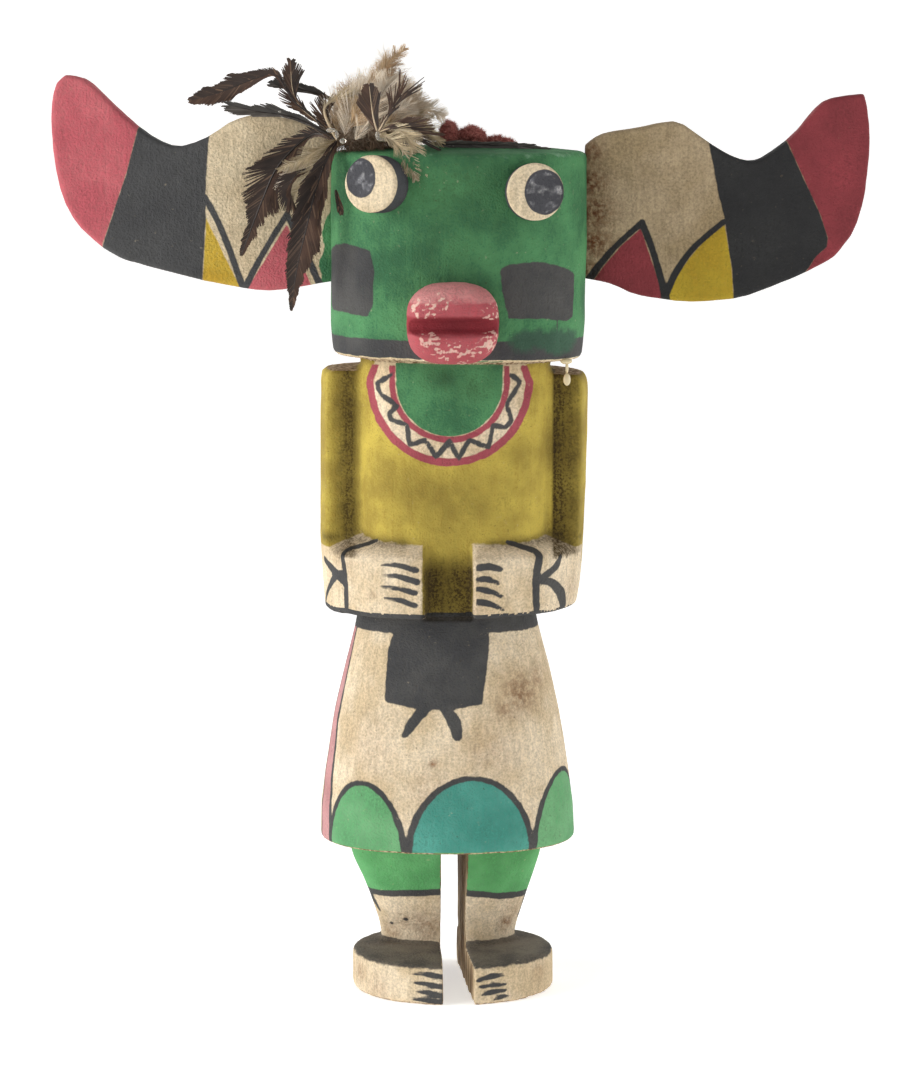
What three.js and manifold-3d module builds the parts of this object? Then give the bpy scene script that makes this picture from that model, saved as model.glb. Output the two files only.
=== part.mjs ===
// Carved cottonwood-root doll standing on its own feet: one carved figure with
// two glued board horns, two dowel eyes, a glued snout and a bunch of feathers.
// Millimetres, +Z up. The doll faces -Y; "left" and "right" are as seen from
// its front, so left is -X. The origin ends up under the middle of the whole.

import * as THREE from 'three';
import { mergeVertices } from 'three/addons/utils/BufferGeometryUtils.js';
import Module from 'manifold-3d';

const wasm = await Module();
wasm.setup();

// ---------------------------------------------------------------- dimensions

const GAP = 0.3; // clearance between pieces that are glued or rest on each other
const SIDES = 50; // facets round each oval section of the root

const HEAD = { foot: 175.4, crown: 231.6, halfWidth: 34.5, halfDepth: 28, squareness: 2.35 };
const UNDERSIDE_SLOPE = -0.018; // the saw cut under the head runs down to the right
const SHOULDER_SLOPE = -0.018;
const SHOULDER_HEIGHT = 171.4;
const ARM_FRONT = -10; // the arm boards are set back to this depth
const ELBOW_HEIGHT = 106.8;
const ELBOW_SLOPE = 0.014;
const FOREARM_LIP = 123.4; // outer top edge of the forearms
const FOREARM_TOP = 127.6; // where their bevelled tops meet chest and arms
const HEM_HEIGHT = 42;
const FOOT_HEIGHT = 10.8;
const HIGH_CUT = 180; // upper limit of the cuts made in chest and arms
const REACH = 60; // beyond the figure on every side

// Plans of the cuts made through the figure, anticlockwise from above.
const FIST_GAP = [[-10.1, -32], [3.4, -32], [3.4, -15], [-7.4, -15]];
const LEG_SLOT = { plan: [[-4.4, -30], [4.5, -30], [-2.1, 30], [-6.4, 30]], top: 43 };
const BACK_INCISION = { x: 25, halfWidth: 2.2, tip: 13, front: 18.2, back: 32 };

const HORN_THICKNESS = 8;
const HORN_BEVEL = 1.1;
const HORN_ROOT_LEFT = -35.1;
const HORN_ROOT_RIGHT = 34.5;

const EYE_RADIUS = 7.5;
const EYE_LENGTH = 18;
const EYE_BEVEL = 0.5;

const SNOUT = { x: -1.9, z: 186.5, halfWidth: 12.1, halfHeight: 10.7, front: -42.4 };
const SNOUT_GROOVE = { z: 186.3, halfMouth: 3.9, floorTop: 0.7, floorBottom: -1.1, depth: 4.2 };

const KNOT = new THREE.Vector3(-32.5, -13, 233.5); // where the feather quills meet
const QUILL_THICKNESS = 0.7;

const PAINT = {
  body: { color: 0xc8ae3a, roughness: 0.85 },
  horn: { color: 0xcdbb9a, roughness: 0.85 },
  eye: { color: 0xd8c6a4, roughness: 0.8 },
  snout: { color: 0xc2575c, roughness: 0.75 },
  down: { color: 0xc9b49a, roughness: 1 },
  feather: { color: 0x3b2a22, roughness: 0.8 },
  red: { color: 0xb5544e, roughness: 0.9 },
};

// ------------------------------------------------------------- solid helpers

function toSolid(geometry) {
  const bare = geometry.clone();
  for (const name of Object.keys(bare.attributes)) {
    if (name !== 'position') bare.deleteAttribute(name);
  }
  const merged = mergeVertices(bare, 1e-4);
  return new wasm.Manifold(new wasm.Mesh({
    numProp: 3,
    vertProperties: new Float32Array(merged.attributes.position.array),
    triVerts: new Uint32Array(merged.index.array),
  }));
}

function toGeometry(solid) {
  const mesh = solid.getMesh();
  const geometry = new THREE.BufferGeometry();
  geometry.setAttribute('position', new THREE.BufferAttribute(new Float32Array(mesh.vertProperties), 3));
  geometry.setIndex(new THREE.BufferAttribute(new Uint32Array(mesh.triVerts), 1));
  return geometry;
}

// Joins closed rings of points, each with the same count and running
// anticlockwise about the direction of travel, into one closed skin.
function skin(rings) {
  const count = rings[0].length;
  const points = rings.flat();
  const index = [];
  for (let ring = 0; ring + 1 < rings.length; ring += 1) {
    for (let i = 0; i < count; i += 1) {
      const j = (i + 1) % count;
      const a = ring * count + i;
      const b = ring * count + j;
      index.push(a, b, b + count, a, b + count, a + count);
    }
  }
  const capCentre = (ring) => {
    const middle = new THREE.Vector3();
    ring.forEach((p) => middle.addScaledVector(p, 1 / count));
    points.push(middle);
    return points.length - 1;
  };
  const low = capCentre(rings[0]);
  const high = capCentre(rings[rings.length - 1]);
  const last = (rings.length - 1) * count;
  for (let i = 0; i < count; i += 1) {
    const j = (i + 1) % count;
    index.push(low, j, i, high, last + i, last + j);
  }
  const geometry = new THREE.BufferGeometry().setFromPoints(points);
  geometry.setIndex(index);
  return geometry;
}

// One oval section of the root. n = 2 is an ellipse, more is squarer.
function ovalRing({ z, x = 0, y = 0, a, b, n = 2.15, slope = 0 }, grow = 0, sides = SIDES) {
  const ring = [];
  for (let i = 0; i < sides; i += 1) {
    const angle = (2 * Math.PI * i) / sides;
    const c = Math.cos(angle);
    const s = Math.sin(angle);
    const px = Math.sign(c) * (a + grow) * Math.abs(c) ** (2 / n);
    const py = Math.sign(s) * (b + grow) * Math.abs(s) ** (2 / n);
    ring.push(new THREE.Vector3(x + px, y + py, z + slope * px));
  }
  return ring;
}

const column = (levels, grow = 0) => toSolid(skin(levels.map((level) => ovalRing(level, grow))));

function block(minX, maxX, minY, maxY, minZ, maxZ) {
  const box = new THREE.BoxGeometry(maxX - minX, maxY - minY, maxZ - minZ);
  box.translate((minX + maxX) / 2, (minY + maxY) / 2, (minZ + maxZ) / 2);
  return toSolid(box);
}

// A prism whose plan is an outline of [x, y] run anticlockwise.
function wedge(plan, minZ, maxZ) {
  const ring = (z) => plan.map(([x, y]) => new THREE.Vector3(x, y, z));
  return toSolid(skin([ring(minZ), ring(maxZ)]));
}

// ------------------------------------------------------------ carved figure

function headLevels() {
  const { foot, crown, halfWidth: a, halfDepth: b, squareness: n } = HEAD;
  const edge = 0.9;
  return [
    { z: foot, x: -0.7, a: a - 1.6, b: b - 1, n, slope: UNDERSIDE_SLOPE },
    { z: foot + edge, x: -0.7, a: a - 0.8, b: b - 0.2, n, slope: UNDERSIDE_SLOPE },
    { z: foot + 9, x: -0.6, a: a - 0.2, b, n },
    { z: 205, x: -0.4, a: a + 0.1, b, n },
    { z: crown - 2.6, x: -0.3, a: a - 0.1, b: b - 0.2, n },
    { z: crown - 1.4, x: -0.3, a: a - 1, b: b - 1.1, n },
    { z: crown, x: -1, a: a * 0.55, b: b * 0.55, n: 2.1 },
  ];
}

const headSolid = (grow = 0) => column(headLevels(), grow);

const ELBOWS = [
  { z: ELBOW_HEIGHT, x: -2.6, a: 33.9, b: 26.9, slope: ELBOW_SLOPE },
  { z: ELBOW_HEIGHT + 0.6, x: -2.6, a: 34.5, b: 27.5, slope: ELBOW_SLOPE },
  { z: 114, x: -2.3, a: 35.2, b: 27.8 },
];

// The outer oval of shoulders, arms and elbows, as the root was first shaped.
const TORSO = [
  ...ELBOWS,
  { z: 127, x: -2.2, a: 36, b: 28 },
  { z: 145, x: -1.8, a: 36.3, b: 28 },
  { z: SHOULDER_HEIGHT - 3.2, x: -1.6, a: 36.3, b: 27.4, slope: SHOULDER_SLOPE },
  { z: SHOULDER_HEIGHT - 0.8, x: -1.6, a: 35.9, b: 26.6, slope: SHOULDER_SLOPE },
  { z: SHOULDER_HEIGHT, x: -1.6, a: 34.9, b: 25.4, slope: SHOULDER_SLOPE },
];

function chestSolid() {
  return column([
    { z: ELBOW_HEIGHT, x: -1.8, a: 24.6, b: 21.4, n: 2.7 },
    { z: 118, x: -1.8, a: 25.2, b: 22.2, n: 2.9 },
    { z: 140, x: -1.7, a: 25.6, b: 22.6, n: 3 },
    { z: 165, x: -1.3, a: 26, b: 22.4, n: 3 },
    { z: 178, x: -1.2, a: 25.6, b: 22, n: 3 },
  ]);
}

// Forearms and fists: a band round the front of the root, its top bevelled
// back to the chest, parted in the middle by the bare chest.
function forearmSolid() {
  const band = column([
    ...ELBOWS,
    { z: FOREARM_LIP - 0.6, x: -2.2, a: 35.8, b: 28 },
    { z: FOREARM_LIP + 0.2, x: -2.2, a: 35.2, b: 27.4 },
    { z: FOREARM_TOP, x: -2.2, a: 28.2, b: 20.2 },
  ]);
  const betweenFists = wedge(FIST_GAP, ELBOW_HEIGHT - 5, HIGH_CUT);
  const frontHalf = block(-REACH, REACH, -REACH, 0, ELBOW_HEIGHT - 5, HIGH_CUT);
  return band.subtract(betweenFists).intersect(frontHalf);
}

// A shallow V cut by knife down each side of the back parts arm from back.
function backIncision(side) {
  const { halfWidth, tip, front, back } = BACK_INCISION;
  const x = side * BACK_INCISION.x - 1.8;
  const cut = wedge([[x, tip], [x + halfWidth, back], [x - halfWidth, back]], ELBOW_HEIGHT - 5, HIGH_CUT);
  return cut.intersect(block(-REACH, REACH, front, back, ELBOW_HEIGHT - 5, HIGH_CUT));
}

function torsoSolid() {
  const setBack = block(-REACH, REACH, ARM_FRONT, REACH, ELBOW_HEIGHT - 1, HIGH_CUT);
  let arms = column(TORSO).intersect(setBack);
  for (const side of [-1, 1]) arms = arms.subtract(backIncision(side));
  return arms.add(chestSolid()).add(forearmSolid());
}

function skirtSolid() {
  return column([
    { z: HEM_HEIGHT, x: -3.5, a: 34.6, b: 24.4 },
    { z: HEM_HEIGHT + 0.7, x: -3.5, a: 35.2, b: 25.1 },
    { z: 52, x: -3.6, a: 34.7, b: 24.9 },
    { z: 63, x: -3.6, a: 33.2, b: 24.1 },
    { z: 76.5, x: -3.6, a: 31.1, b: 22.7 },
    { z: 90, x: -3.5, a: 28.1, b: 20.7 },
    { z: 101, x: -3.7, a: 25.2, b: 18.6 },
    { z: ELBOW_HEIGHT + 1, x: -3.7, a: 23.8, b: 17.8 },
  ]);
}

function legSolid() {
  return column([
    { z: FOOT_HEIGHT - 2, x: -3.5, y: 9, a: 18, b: 9.6, n: 2.4 },
    { z: 16, x: -3.3, y: 8.6, a: 19.5, b: 10, n: 2.4 },
    { z: 25, x: -3.4, y: 7, a: 22.2, b: 11.6, n: 2.4 },
    { z: 35, x: -3.9, y: 5, a: 25.8, b: 13.8, n: 2.3 },
    { z: HEM_HEIGHT + 2, x: -3.9, y: 4, a: 28.4, b: 15.4, n: 2.2 },
  ]);
}

function feetSolid() {
  const section = { x: -2, y: -1.4, n: 2.1 };
  return column([
    { ...section, z: 0, a: 27.4, b: 22.7 },
    { ...section, z: 0.6, a: 27.9, b: 23.2 },
    { ...section, z: FOOT_HEIGHT - 0.7, a: 27.8, b: 23 },
    { ...section, z: FOOT_HEIGHT, a: 27.1, b: 22.3 },
  ]);
}

// The saw slot that parts the legs, wider at the toes than at the heels.
const legSlot = () => wedge(LEG_SLOT.plan, -1, LEG_SLOT.top);

function figureSolid() {
  return headSolid()
    .add(torsoSolid())
    .add(skirtSolid())
    .add(legSolid().add(feetSolid()).subtract(legSlot()));
}

// -------------------------------------------------------------------- horns

// Board outlines as [x, z], from the root's top out to the tip and back.
const HORN_LEFT_TOP = [[-34, 234], [-41, 237.6], [-48.5, 239.4], [-54.6, 240], [-61.2, 238.1],
  [-67.6, 234], [-75, 231.5], [-81, 233.2], [-88, 238], [-95, 244.8], [-100.2, 249.4], [-105.4, 250.6]];
const HORN_LEFT_TIP = [[-105.4, 250.6], [-108.3, 247.6], [-109.5, 240], [-109.2, 230.6], [-107, 218.8],
  [-102.8, 210.6], [-96.2, 204.4]];
const HORN_LEFT_BASE = [[-96.2, 204.4], [-91, 201.4], [-84, 199.4], [-70, 195.7], [-58, 193.5],
  [-50, 193], [-41, 194.3], [-34, 195.6]];

const HORN_RIGHT_TOP = [[33, 230], [35.8, 233.2], [39, 235.1], [48, 236.5], [54.5, 237.8], [59.2, 237.7],
  [67, 232.4], [73, 229], [77.8, 227.6], [82, 228.8], [89.5, 234.6], [95.2, 241.3], [99.4, 244.2], [108, 245.4]];
const HORN_RIGHT_TIP = [[108, 245.4], [109.3, 240], [109.8, 230], [108.8, 219], [105.9, 209],
  [100.8, 202]];
const HORN_RIGHT_BASE = [[100.8, 202], [96, 199.2], [89.9, 196.2], [82, 193.2], [74.5, 190.8],
  [62, 189.9], [54, 190.6], [47, 191.9], [41, 194.6], [33, 196.4]];

function hornSolid(edges, rootX, outward) {
  const shape = new THREE.Shape();
  shape.moveTo(...edges[0][0]);
  for (const edge of edges) {
    shape.splineThru(edge.slice(1).map(([x, z]) => new THREE.Vector2(x, z)));
  }
  const board = new THREE.ExtrudeGeometry(shape, {
    depth: HORN_THICKNESS - 2 * HORN_BEVEL,
    bevelEnabled: true,
    bevelThickness: HORN_BEVEL,
    bevelSize: HORN_BEVEL,
    bevelOffset: -HORN_BEVEL,
    bevelSegments: 2,
    curveSegments: 2,
  });
  board.rotateX(Math.PI / 2);
  board.translate(0, HORN_THICKNESS / 2 - HORN_BEVEL, 0);
  const far = outward * 200;
  const outside = block(Math.min(rootX, far), Math.max(rootX, far), -60, 60, 100, 300);
  return toSolid(board).intersect(outside);
}

// --------------------------------------------------------------- eyes, snout

// A dowel end cut to fit the curved face, turned by yaw (towards +X) and pitch.
function eyeSolid({ face, yaw, pitch }) {
  const profile = [
    [0, 0], [EYE_RADIUS - EYE_BEVEL, 0], [EYE_RADIUS, EYE_BEVEL], [EYE_RADIUS, EYE_LENGTH], [0, EYE_LENGTH],
  ];
  const dowel = new THREE.LatheGeometry(profile.map(([r, h]) => new THREE.Vector2(r, h)), 36);
  const turn = new THREE.Matrix4().makeRotationFromEuler(new THREE.Euler(pitch, 0, yaw, 'ZXY'));
  dowel.applyMatrix4(turn);
  dowel.translate(...face);
  return toSolid(dowel).subtract(headSolid(GAP));
}

const EYES = {
  eye_left: { face: [-23.7, -31, 222.6], yaw: THREE.MathUtils.degToRad(-25), pitch: THREE.MathUtils.degToRad(-3) },
  eye_right: { face: [19.7, -32, 220.6], yaw: THREE.MathUtils.degToRad(5), pitch: THREE.MathUtils.degToRad(-3) },
};

// A barrel with a crowned front, sawn across by a groove for the mouth.
function snoutSolid() {
  const { x, z, halfWidth, halfHeight, front } = SNOUT;
  const stations = [
    [-18, 0.9], [-27, 0.93], [-33, 0.99], [-36, 1], [-38.4, 0.97], [-40.4, 0.88], [-41.8, 0.74], [front, 0.5],
  ];
  const rings = stations.map(([y, scale]) => {
    const ring = ovalRing({ z: 0, a: halfWidth * scale, b: halfHeight * scale, n: 2.7 }, 0, 36);
    return ring.map((p) => new THREE.Vector3(x + p.x, y, z + p.y));
  });
  const barrel = toSolid(skin(rings));
  const { halfMouth, floorTop, floorBottom, depth } = SNOUT_GROOVE;
  const section = [
    [front + depth, floorBottom], [front + depth, floorTop], [front - 2, halfMouth], [front - 2, -halfMouth],
  ];
  const sides = [x - halfWidth - 1, x + halfWidth + 1];
  const groove = toSolid(skin(sides.map((px) => section.map(
    ([y, dz]) => new THREE.Vector3(px, y, SNOUT_GROOVE.z + dz),
  ))));
  return barrel.subtract(groove).subtract(headSolid(GAP));
}

// ---------------------------------------------------------- feathers and down

function lump([x, y, z], [rx, ry, rz]) {
  const ball = new THREE.SphereGeometry(1, 16, 10);
  ball.rotateX(Math.PI / 2);
  ball.scale(rx, ry, rz);
  ball.translate(x, y, z);
  return toSolid(ball);
}

function downSolid(grow = 0) {
  const g = (radii) => radii.map((r) => r + grow);
  return lump([-22, -6, 237.5], g([12.4, 12, 10]))
    .add(lump([-26.4, -6, 241.5], g([8, 8.5, 7.6])))
    .add(lump([-18.4, -8, 248], g([4.2, 5, 8])))
    .add(lump([KNOT.x, KNOT.y, KNOT.z], g([4.2, 3.4, 4.2])));
}

const downTuft = () => downSolid().subtract(headSolid(GAP)).intersect(
  block(HORN_ROOT_LEFT + GAP, REACH, -REACH, REACH, HEAD.foot, HEAD.crown * 2),
);

// A flat feather along a curve, widths given along its length.
function featherSolid({ path, widths, lean = 0 }) {
  const curve = new THREE.CatmullRomCurve3(path.map((p) => new THREE.Vector3(...p)));
  const steps = 10;
  const rings = [];
  for (let i = 0; i <= steps; i += 1) {
    const t = i / steps;
    const along = curve.getTangentAt(t);
    const facing = new THREE.Vector3(Math.sin(lean), -Math.cos(lean), 0);
    const across = new THREE.Vector3().crossVectors(facing, along).normalize();
    const normal = new THREE.Vector3().crossVectors(along, across).normalize();
    const place = t * (widths.length - 1);
    const k = Math.min(Math.floor(place), widths.length - 2);
    const half = THREE.MathUtils.lerp(widths[k], widths[k + 1], place - k) / 2;
    const thick = QUILL_THICKNESS / 2;
    const middle = curve.getPointAt(t);
    const corner = (u, v) => middle.clone().addScaledVector(across, u).addScaledVector(normal, v);
    rings.push([corner(half, 0), corner(0, thick), corner(-half, 0), corner(0, -thick)]);
  }
  return toSolid(skin(rings)).subtract(downSolid(GAP)).subtract(headSolid(GAP));
}

const K = KNOT.toArray();
const FEATHERS = {
  feather_swept: {
    path: [K, [-38.4, -11.5, 239], [-44, -12, 243.6], [-46.2, -12, 247], [-49, -11.5, 250.6],
      [-55.2, -10.5, 249.3], [-63, -9.5, 246.2], [-71.6, -9, 243.8]],
    widths: [0.9, 0.9, 0.9, 1, 4.6, 5.2, 4.4, 1],
  },
  feather_upright: {
    path: [K, [-37.5, -9.5, 238], [-42.6, -8.5, 242.3], [-44.6, -8, 247], [-45, -8, 254]],
    widths: [0.9, 1, 3.4, 4.6, 1.2],
  },
  feather_level: {
    path: [K, [-39.5, -14.5, 237.6], [-45.1, -14, 239.7], [-52.5, -13.5, 240.8], [-60.2, -13, 242.4]],
    widths: [0.9, 1.6, 2.3, 2.5, 1],
  },
  feather_thin: {
    path: [[-30, -2, 241], [-36, -3, 244.6], [-43.2, -3, 246.9], [-49.6, -3, 247.9]],
    widths: [0.9, 1.6, 1.6, 1],
  },
  feather_slanting: {
    path: [K, [-39.5, -9.5, 234.8], [-48.1, -9.5, 226.9], [-52.7, -9.5, 217.5], [-58.4, -9, 203]],
    widths: [0.9, 1.4, 5, 8.4, 6, 1.2],
  },
  feather_small: {
    path: [K, [-38.8, -16.5, 227], [-43.4, -17, 224.4], [-45, -17, 221], [-44.5, -16.5, 216.4]],
    widths: [0.9, 1.4, 2.8, 2.8, 1],
  },
  feather_hanging: {
    path: [K, [-35.3, -19, 228], [-38, -20, 220.5], [-40.7, -20, 209.9], [-43.2, -19.5, 199.4],
      [-44.7, -19, 189]],
    widths: [0.9, 6, 7.4, 7.2, 5, 1.4],
  },
  feather_front: {
    path: [[-17.5, -15, 232.5], [-19.6, -20.5, 236.6], [-22.9, -22.5, 245.4]],
    widths: [1.4, 3, 1.2],
  },
};

// ---------------------------------------------------- red trim on the crown

// Strips of dyed stuff lying on the crown: a rounded lump and two flat ends.
function crownStrip(path, width, height) {
  const curve = new THREE.CatmullRomCurve3(path.map((p) => new THREE.Vector3(...p)));
  const steps = 6;
  const rings = [];
  for (let i = 0; i <= steps; i += 1) {
    const t = i / steps;
    const taper = 0.45 + 0.55 * Math.sin(Math.PI * Math.min(1, 0.18 + 0.82 * (1 - t)));
    const middle = curve.getPointAt(t);
    const ring = [];
    for (let k = 0; k < 10; k += 1) {
      const angle = (2 * Math.PI * k) / 10;
      ring.push(new THREE.Vector3(
        middle.x,
        middle.y + Math.cos(angle) * width * 0.5 * taper,
        middle.z + Math.sin(angle) * height * 0.5 * taper,
      ));
    }
    rings.push(ring);
  }
  return toSolid(skin(rings)).subtract(headSolid(GAP));
}

const RED_TRIM = {
  red_knot: () => lump([-2.9, -9, 234.4], [2.5, 2.8, 3.7]).subtract(headSolid(GAP)),
  red_strip_broad: () => crownStrip([[0.1, -8.6, 234.4], [3, -8.6, 234.6], [6.6, -8.2, 233.4]], 6, 4.6),
  red_strip_tapered: () => crownStrip([[7.2, -7.6, 233], [10.5, -7.2, 232.8], [14.8, -6.6, 231.6]], 4.4, 2.8),
};

// ----------------------------------------------------------------- assembly

const doll = new THREE.Group();

function addPiece(name, solid, { color, roughness }) {
  const material = new THREE.MeshStandardMaterial({ color, roughness, metalness: 0 });
  const mesh = new THREE.Mesh(toGeometry(solid), material);
  mesh.name = name;
  doll.add(mesh);
}

const hornLeft = hornSolid([HORN_LEFT_TOP, HORN_LEFT_TIP, HORN_LEFT_BASE], HORN_ROOT_LEFT, -1);
const hornRight = hornSolid([HORN_RIGHT_TOP, HORN_RIGHT_TIP, HORN_RIGHT_BASE], HORN_ROOT_RIGHT, 1);

addPiece('carved_figure', figureSolid(), PAINT.body);
addPiece('horn_left', hornLeft, PAINT.horn);
addPiece('horn_right', hornRight, PAINT.horn);
for (const [name, eye] of Object.entries(EYES)) addPiece(name, eyeSolid(eye), PAINT.eye);
addPiece('snout', snoutSolid(), PAINT.snout);
addPiece('down_tuft', downTuft(), PAINT.down);
for (const [name, feather] of Object.entries(FEATHERS)) addPiece(name, featherSolid(feather), PAINT.feather);
for (const [name, build] of Object.entries(RED_TRIM)) addPiece(name, build(), PAINT.red);

// The origin goes under the middle of the whole, on the ground.
const extent = new THREE.Box3().setFromObject(doll);
const middle = extent.getCenter(new THREE.Vector3());
doll.position.set(-middle.x, -middle.y, -extent.min.z);

export default doll;
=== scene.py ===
"""A carved and painted kachina doll with board horns and a bunch of feathers.

Lengths are millimetres in the doll's own axes: x runs to the viewer's right, y towards the
doll's back and z up, from the ground below the doll's upright axis. Painted areas are worked
out as distances inside their edges, and each finish turns those distances into paint.
"""
from __future__ import annotations

import logging
import math
from dataclasses import dataclass
from enum import Enum
from typing import Any, Sequence

import bmesh
import bpy
import numpy as np
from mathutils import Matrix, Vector

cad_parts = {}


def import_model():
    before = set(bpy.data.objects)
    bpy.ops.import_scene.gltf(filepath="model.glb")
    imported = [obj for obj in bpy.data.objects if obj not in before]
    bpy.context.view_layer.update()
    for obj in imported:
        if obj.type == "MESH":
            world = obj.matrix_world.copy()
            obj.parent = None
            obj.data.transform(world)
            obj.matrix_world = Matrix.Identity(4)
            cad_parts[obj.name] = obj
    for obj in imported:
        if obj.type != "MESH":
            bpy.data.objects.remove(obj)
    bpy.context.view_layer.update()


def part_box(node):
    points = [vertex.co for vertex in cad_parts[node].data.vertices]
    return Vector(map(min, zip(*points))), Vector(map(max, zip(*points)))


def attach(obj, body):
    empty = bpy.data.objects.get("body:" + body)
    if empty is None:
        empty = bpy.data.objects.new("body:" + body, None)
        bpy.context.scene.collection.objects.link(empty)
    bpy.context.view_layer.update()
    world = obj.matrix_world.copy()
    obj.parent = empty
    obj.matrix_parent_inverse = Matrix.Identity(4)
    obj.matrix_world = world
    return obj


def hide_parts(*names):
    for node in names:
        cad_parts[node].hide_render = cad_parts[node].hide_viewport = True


LOG = logging.getLogger("kachina_doll")
MM = 0.001
AWAY = -9.0  # the distance given to a point that lies nowhere near an edge
BODY = "root"

Field = np.ndarray  # one value for each point of a piece
Pair = tuple[float, float]
Triple = tuple[float, float, float]


# ------------------------------------------------------------------ colour and nodes


def linear(code: str) -> tuple[float, float, float, float]:
    """Turns an sRGB hex code into a linear colour.

    Args:
        code: The colour as "#RRGGBB".

    Returns:
        Red, green, blue and alpha, linear.
    """
    channels = []
    for place in (1, 3, 5):
        value = int(code[place : place + 2], 16) / 255
        channels.append(value / 12.92 if value <= 0.04045 else ((value + 0.055) / 1.055) ** 2.4)
    return (*channels, 1.0)


def add(tree: bpy.types.NodeTree, kind: str, feeds: dict | None = None, **settings: Any) -> bpy.types.Node:
    """Adds a node with its settings, values and links.

    Args:
        tree: The node tree.
        kind: The node's type name.
        feeds: Values or output sockets by input name or number.
        **settings: Attributes of the node.

    Returns:
        The new node.
    """
    node = tree.nodes.new(kind)
    for name, value in settings.items():
        setattr(node, name, value)
    for name, feed in (feeds or {}).items():
        if isinstance(feed, bpy.types.NodeSocket):
            tree.links.new(feed, node.inputs[name])
        else:
            node.inputs[name].default_value = feed
    return node


def pattern(
    tree: bpy.types.NodeTree, size: float, detail: float = 2.0, stretch: Triple = (1, 1, 1),
    shift: float = 0.0
) -> bpy.types.NodeSocket:
    """Lays an irregular pattern of a real size over a piece.

    Args:
        tree: The material's node tree.
        size: The size of the pattern's features, mm.
        detail: How many finer layers it has.
        stretch: Scale of the pattern along each axis; less than one draws it out.
        shift: Moves the pattern, so that two of one size differ.

    Returns:
        The socket with the pattern, about 0.2 to 0.8.
    """
    where = add(tree, "ShaderNodeTexCoord").outputs["Object"]
    placed = add(tree, "ShaderNodeMapping", {"Vector": where, "Scale": stretch,
        "Location": (shift, shift, 0)})
    noise = add(
        tree,
        "ShaderNodeTexNoise",
        {"Vector": placed.outputs[0], "Scale": 1 / (size * MM), "Detail": detail, "Roughness": 0.6},
    )
    return noise.outputs[0]


def ramp(
    tree: bpy.types.NodeTree, feed: bpy.types.NodeSocket, start: Pair, end: Pair
) -> bpy.types.NodeSocket:
    """Maps a value smoothly from one range to another.

    Args:
        tree: The node tree.
        feed: The value.
        start: The input's range.
        end: The values it becomes.

    Returns:
        The mapped value's socket.
    """
    node = add(
        tree,
        "ShaderNodeMapRange",
        {"Value": feed, "From Min": start[0], "From Max": start[1], "To Min": end[0], "To Max": end[1]},
        interpolation_type="SMOOTHSTEP",
    )
    return node.outputs[0]


def lay(
    tree: bpy.types.NodeTree,
    cover: bpy.types.NodeSocket | float,
    below: bpy.types.NodeSocket | tuple,
    above: bpy.types.NodeSocket | tuple,
    how: str = "MIX",
) -> bpy.types.NodeSocket:
    """Lays one colour over another.

    Args:
        tree: The node tree.
        cover: How much of the upper colour shows.
        below: The lower colour.
        above: The upper colour.
        how: The way the two mix.

    Returns:
        The resulting colour's socket.
    """
    node = add(tree, "ShaderNodeMix", {0: cover, 6: below, 7: above}, data_type="RGBA", blend_type=how)
    return node.outputs[2]


# ------------------------------------------------------------------ fields on a surface


def lattice_noise(points: np.ndarray, size: float, seed: int) -> Field:
    """Smooth noise from -1 to 1 with features of a given size.

    Args:
        points: Places, mm.
        size: Feature size, mm.
        seed: Chooses one of many such fields.

    Returns:
        One value for each point.
    """
    cell = np.floor(points / size).astype(np.int64)
    part = points / size - cell
    part = part * part * (3 - 2 * part)
    total = np.zeros(len(points))
    for corner in range(8):
        step = np.array([corner & 1, corner >> 1 & 1, corner >> 2 & 1])
        key = ((cell + step) * np.array([73856093, 19349663, 83492791])).sum(1) + seed * 2654435761
        key = (key ^ (key >> 13)) * 1274126177 & 0xFFFFFFFF
        key = (key ^ (key >> 16)) & 0xFFFFFFFF
        weight = np.prod(np.where(step == 1, part, 1 - part), axis=1)
        total += weight * (key / 0x7FFFFFFF - 1)
    return total


def curve_through(points: Sequence[Pair], closed: bool = False, steps: int = 6) -> np.ndarray:
    """Draws a smooth line through points.

    Args:
        points: The points, in two or three dimensions.
        closed: Whether it comes back to its start.
        steps: Pieces between one point and the next.

    Returns:
        The points along the line.
    """
    given = np.array(points, float)
    count = len(given)
    spans = count if closed else count - 1
    result = []
    for span in range(spans):
        places = [(span + k) % count if closed else min(max(span + k, 0), count - 1) for k in (-1, 0, 1, 2)]
        before, start, end, after = given[places]
        for t in np.arange(steps) / steps:
            result.append(
                0.5
                * (
                    2 * start
                    + (end - before) * t
                    + (2 * before - 5 * start + 4 * end - after) * t**2
                    + (3 * start - before - 3 * end + after) * t**3
                )
            )
    if not closed:
        result.append(given[-1])
    return np.array(result)


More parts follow.
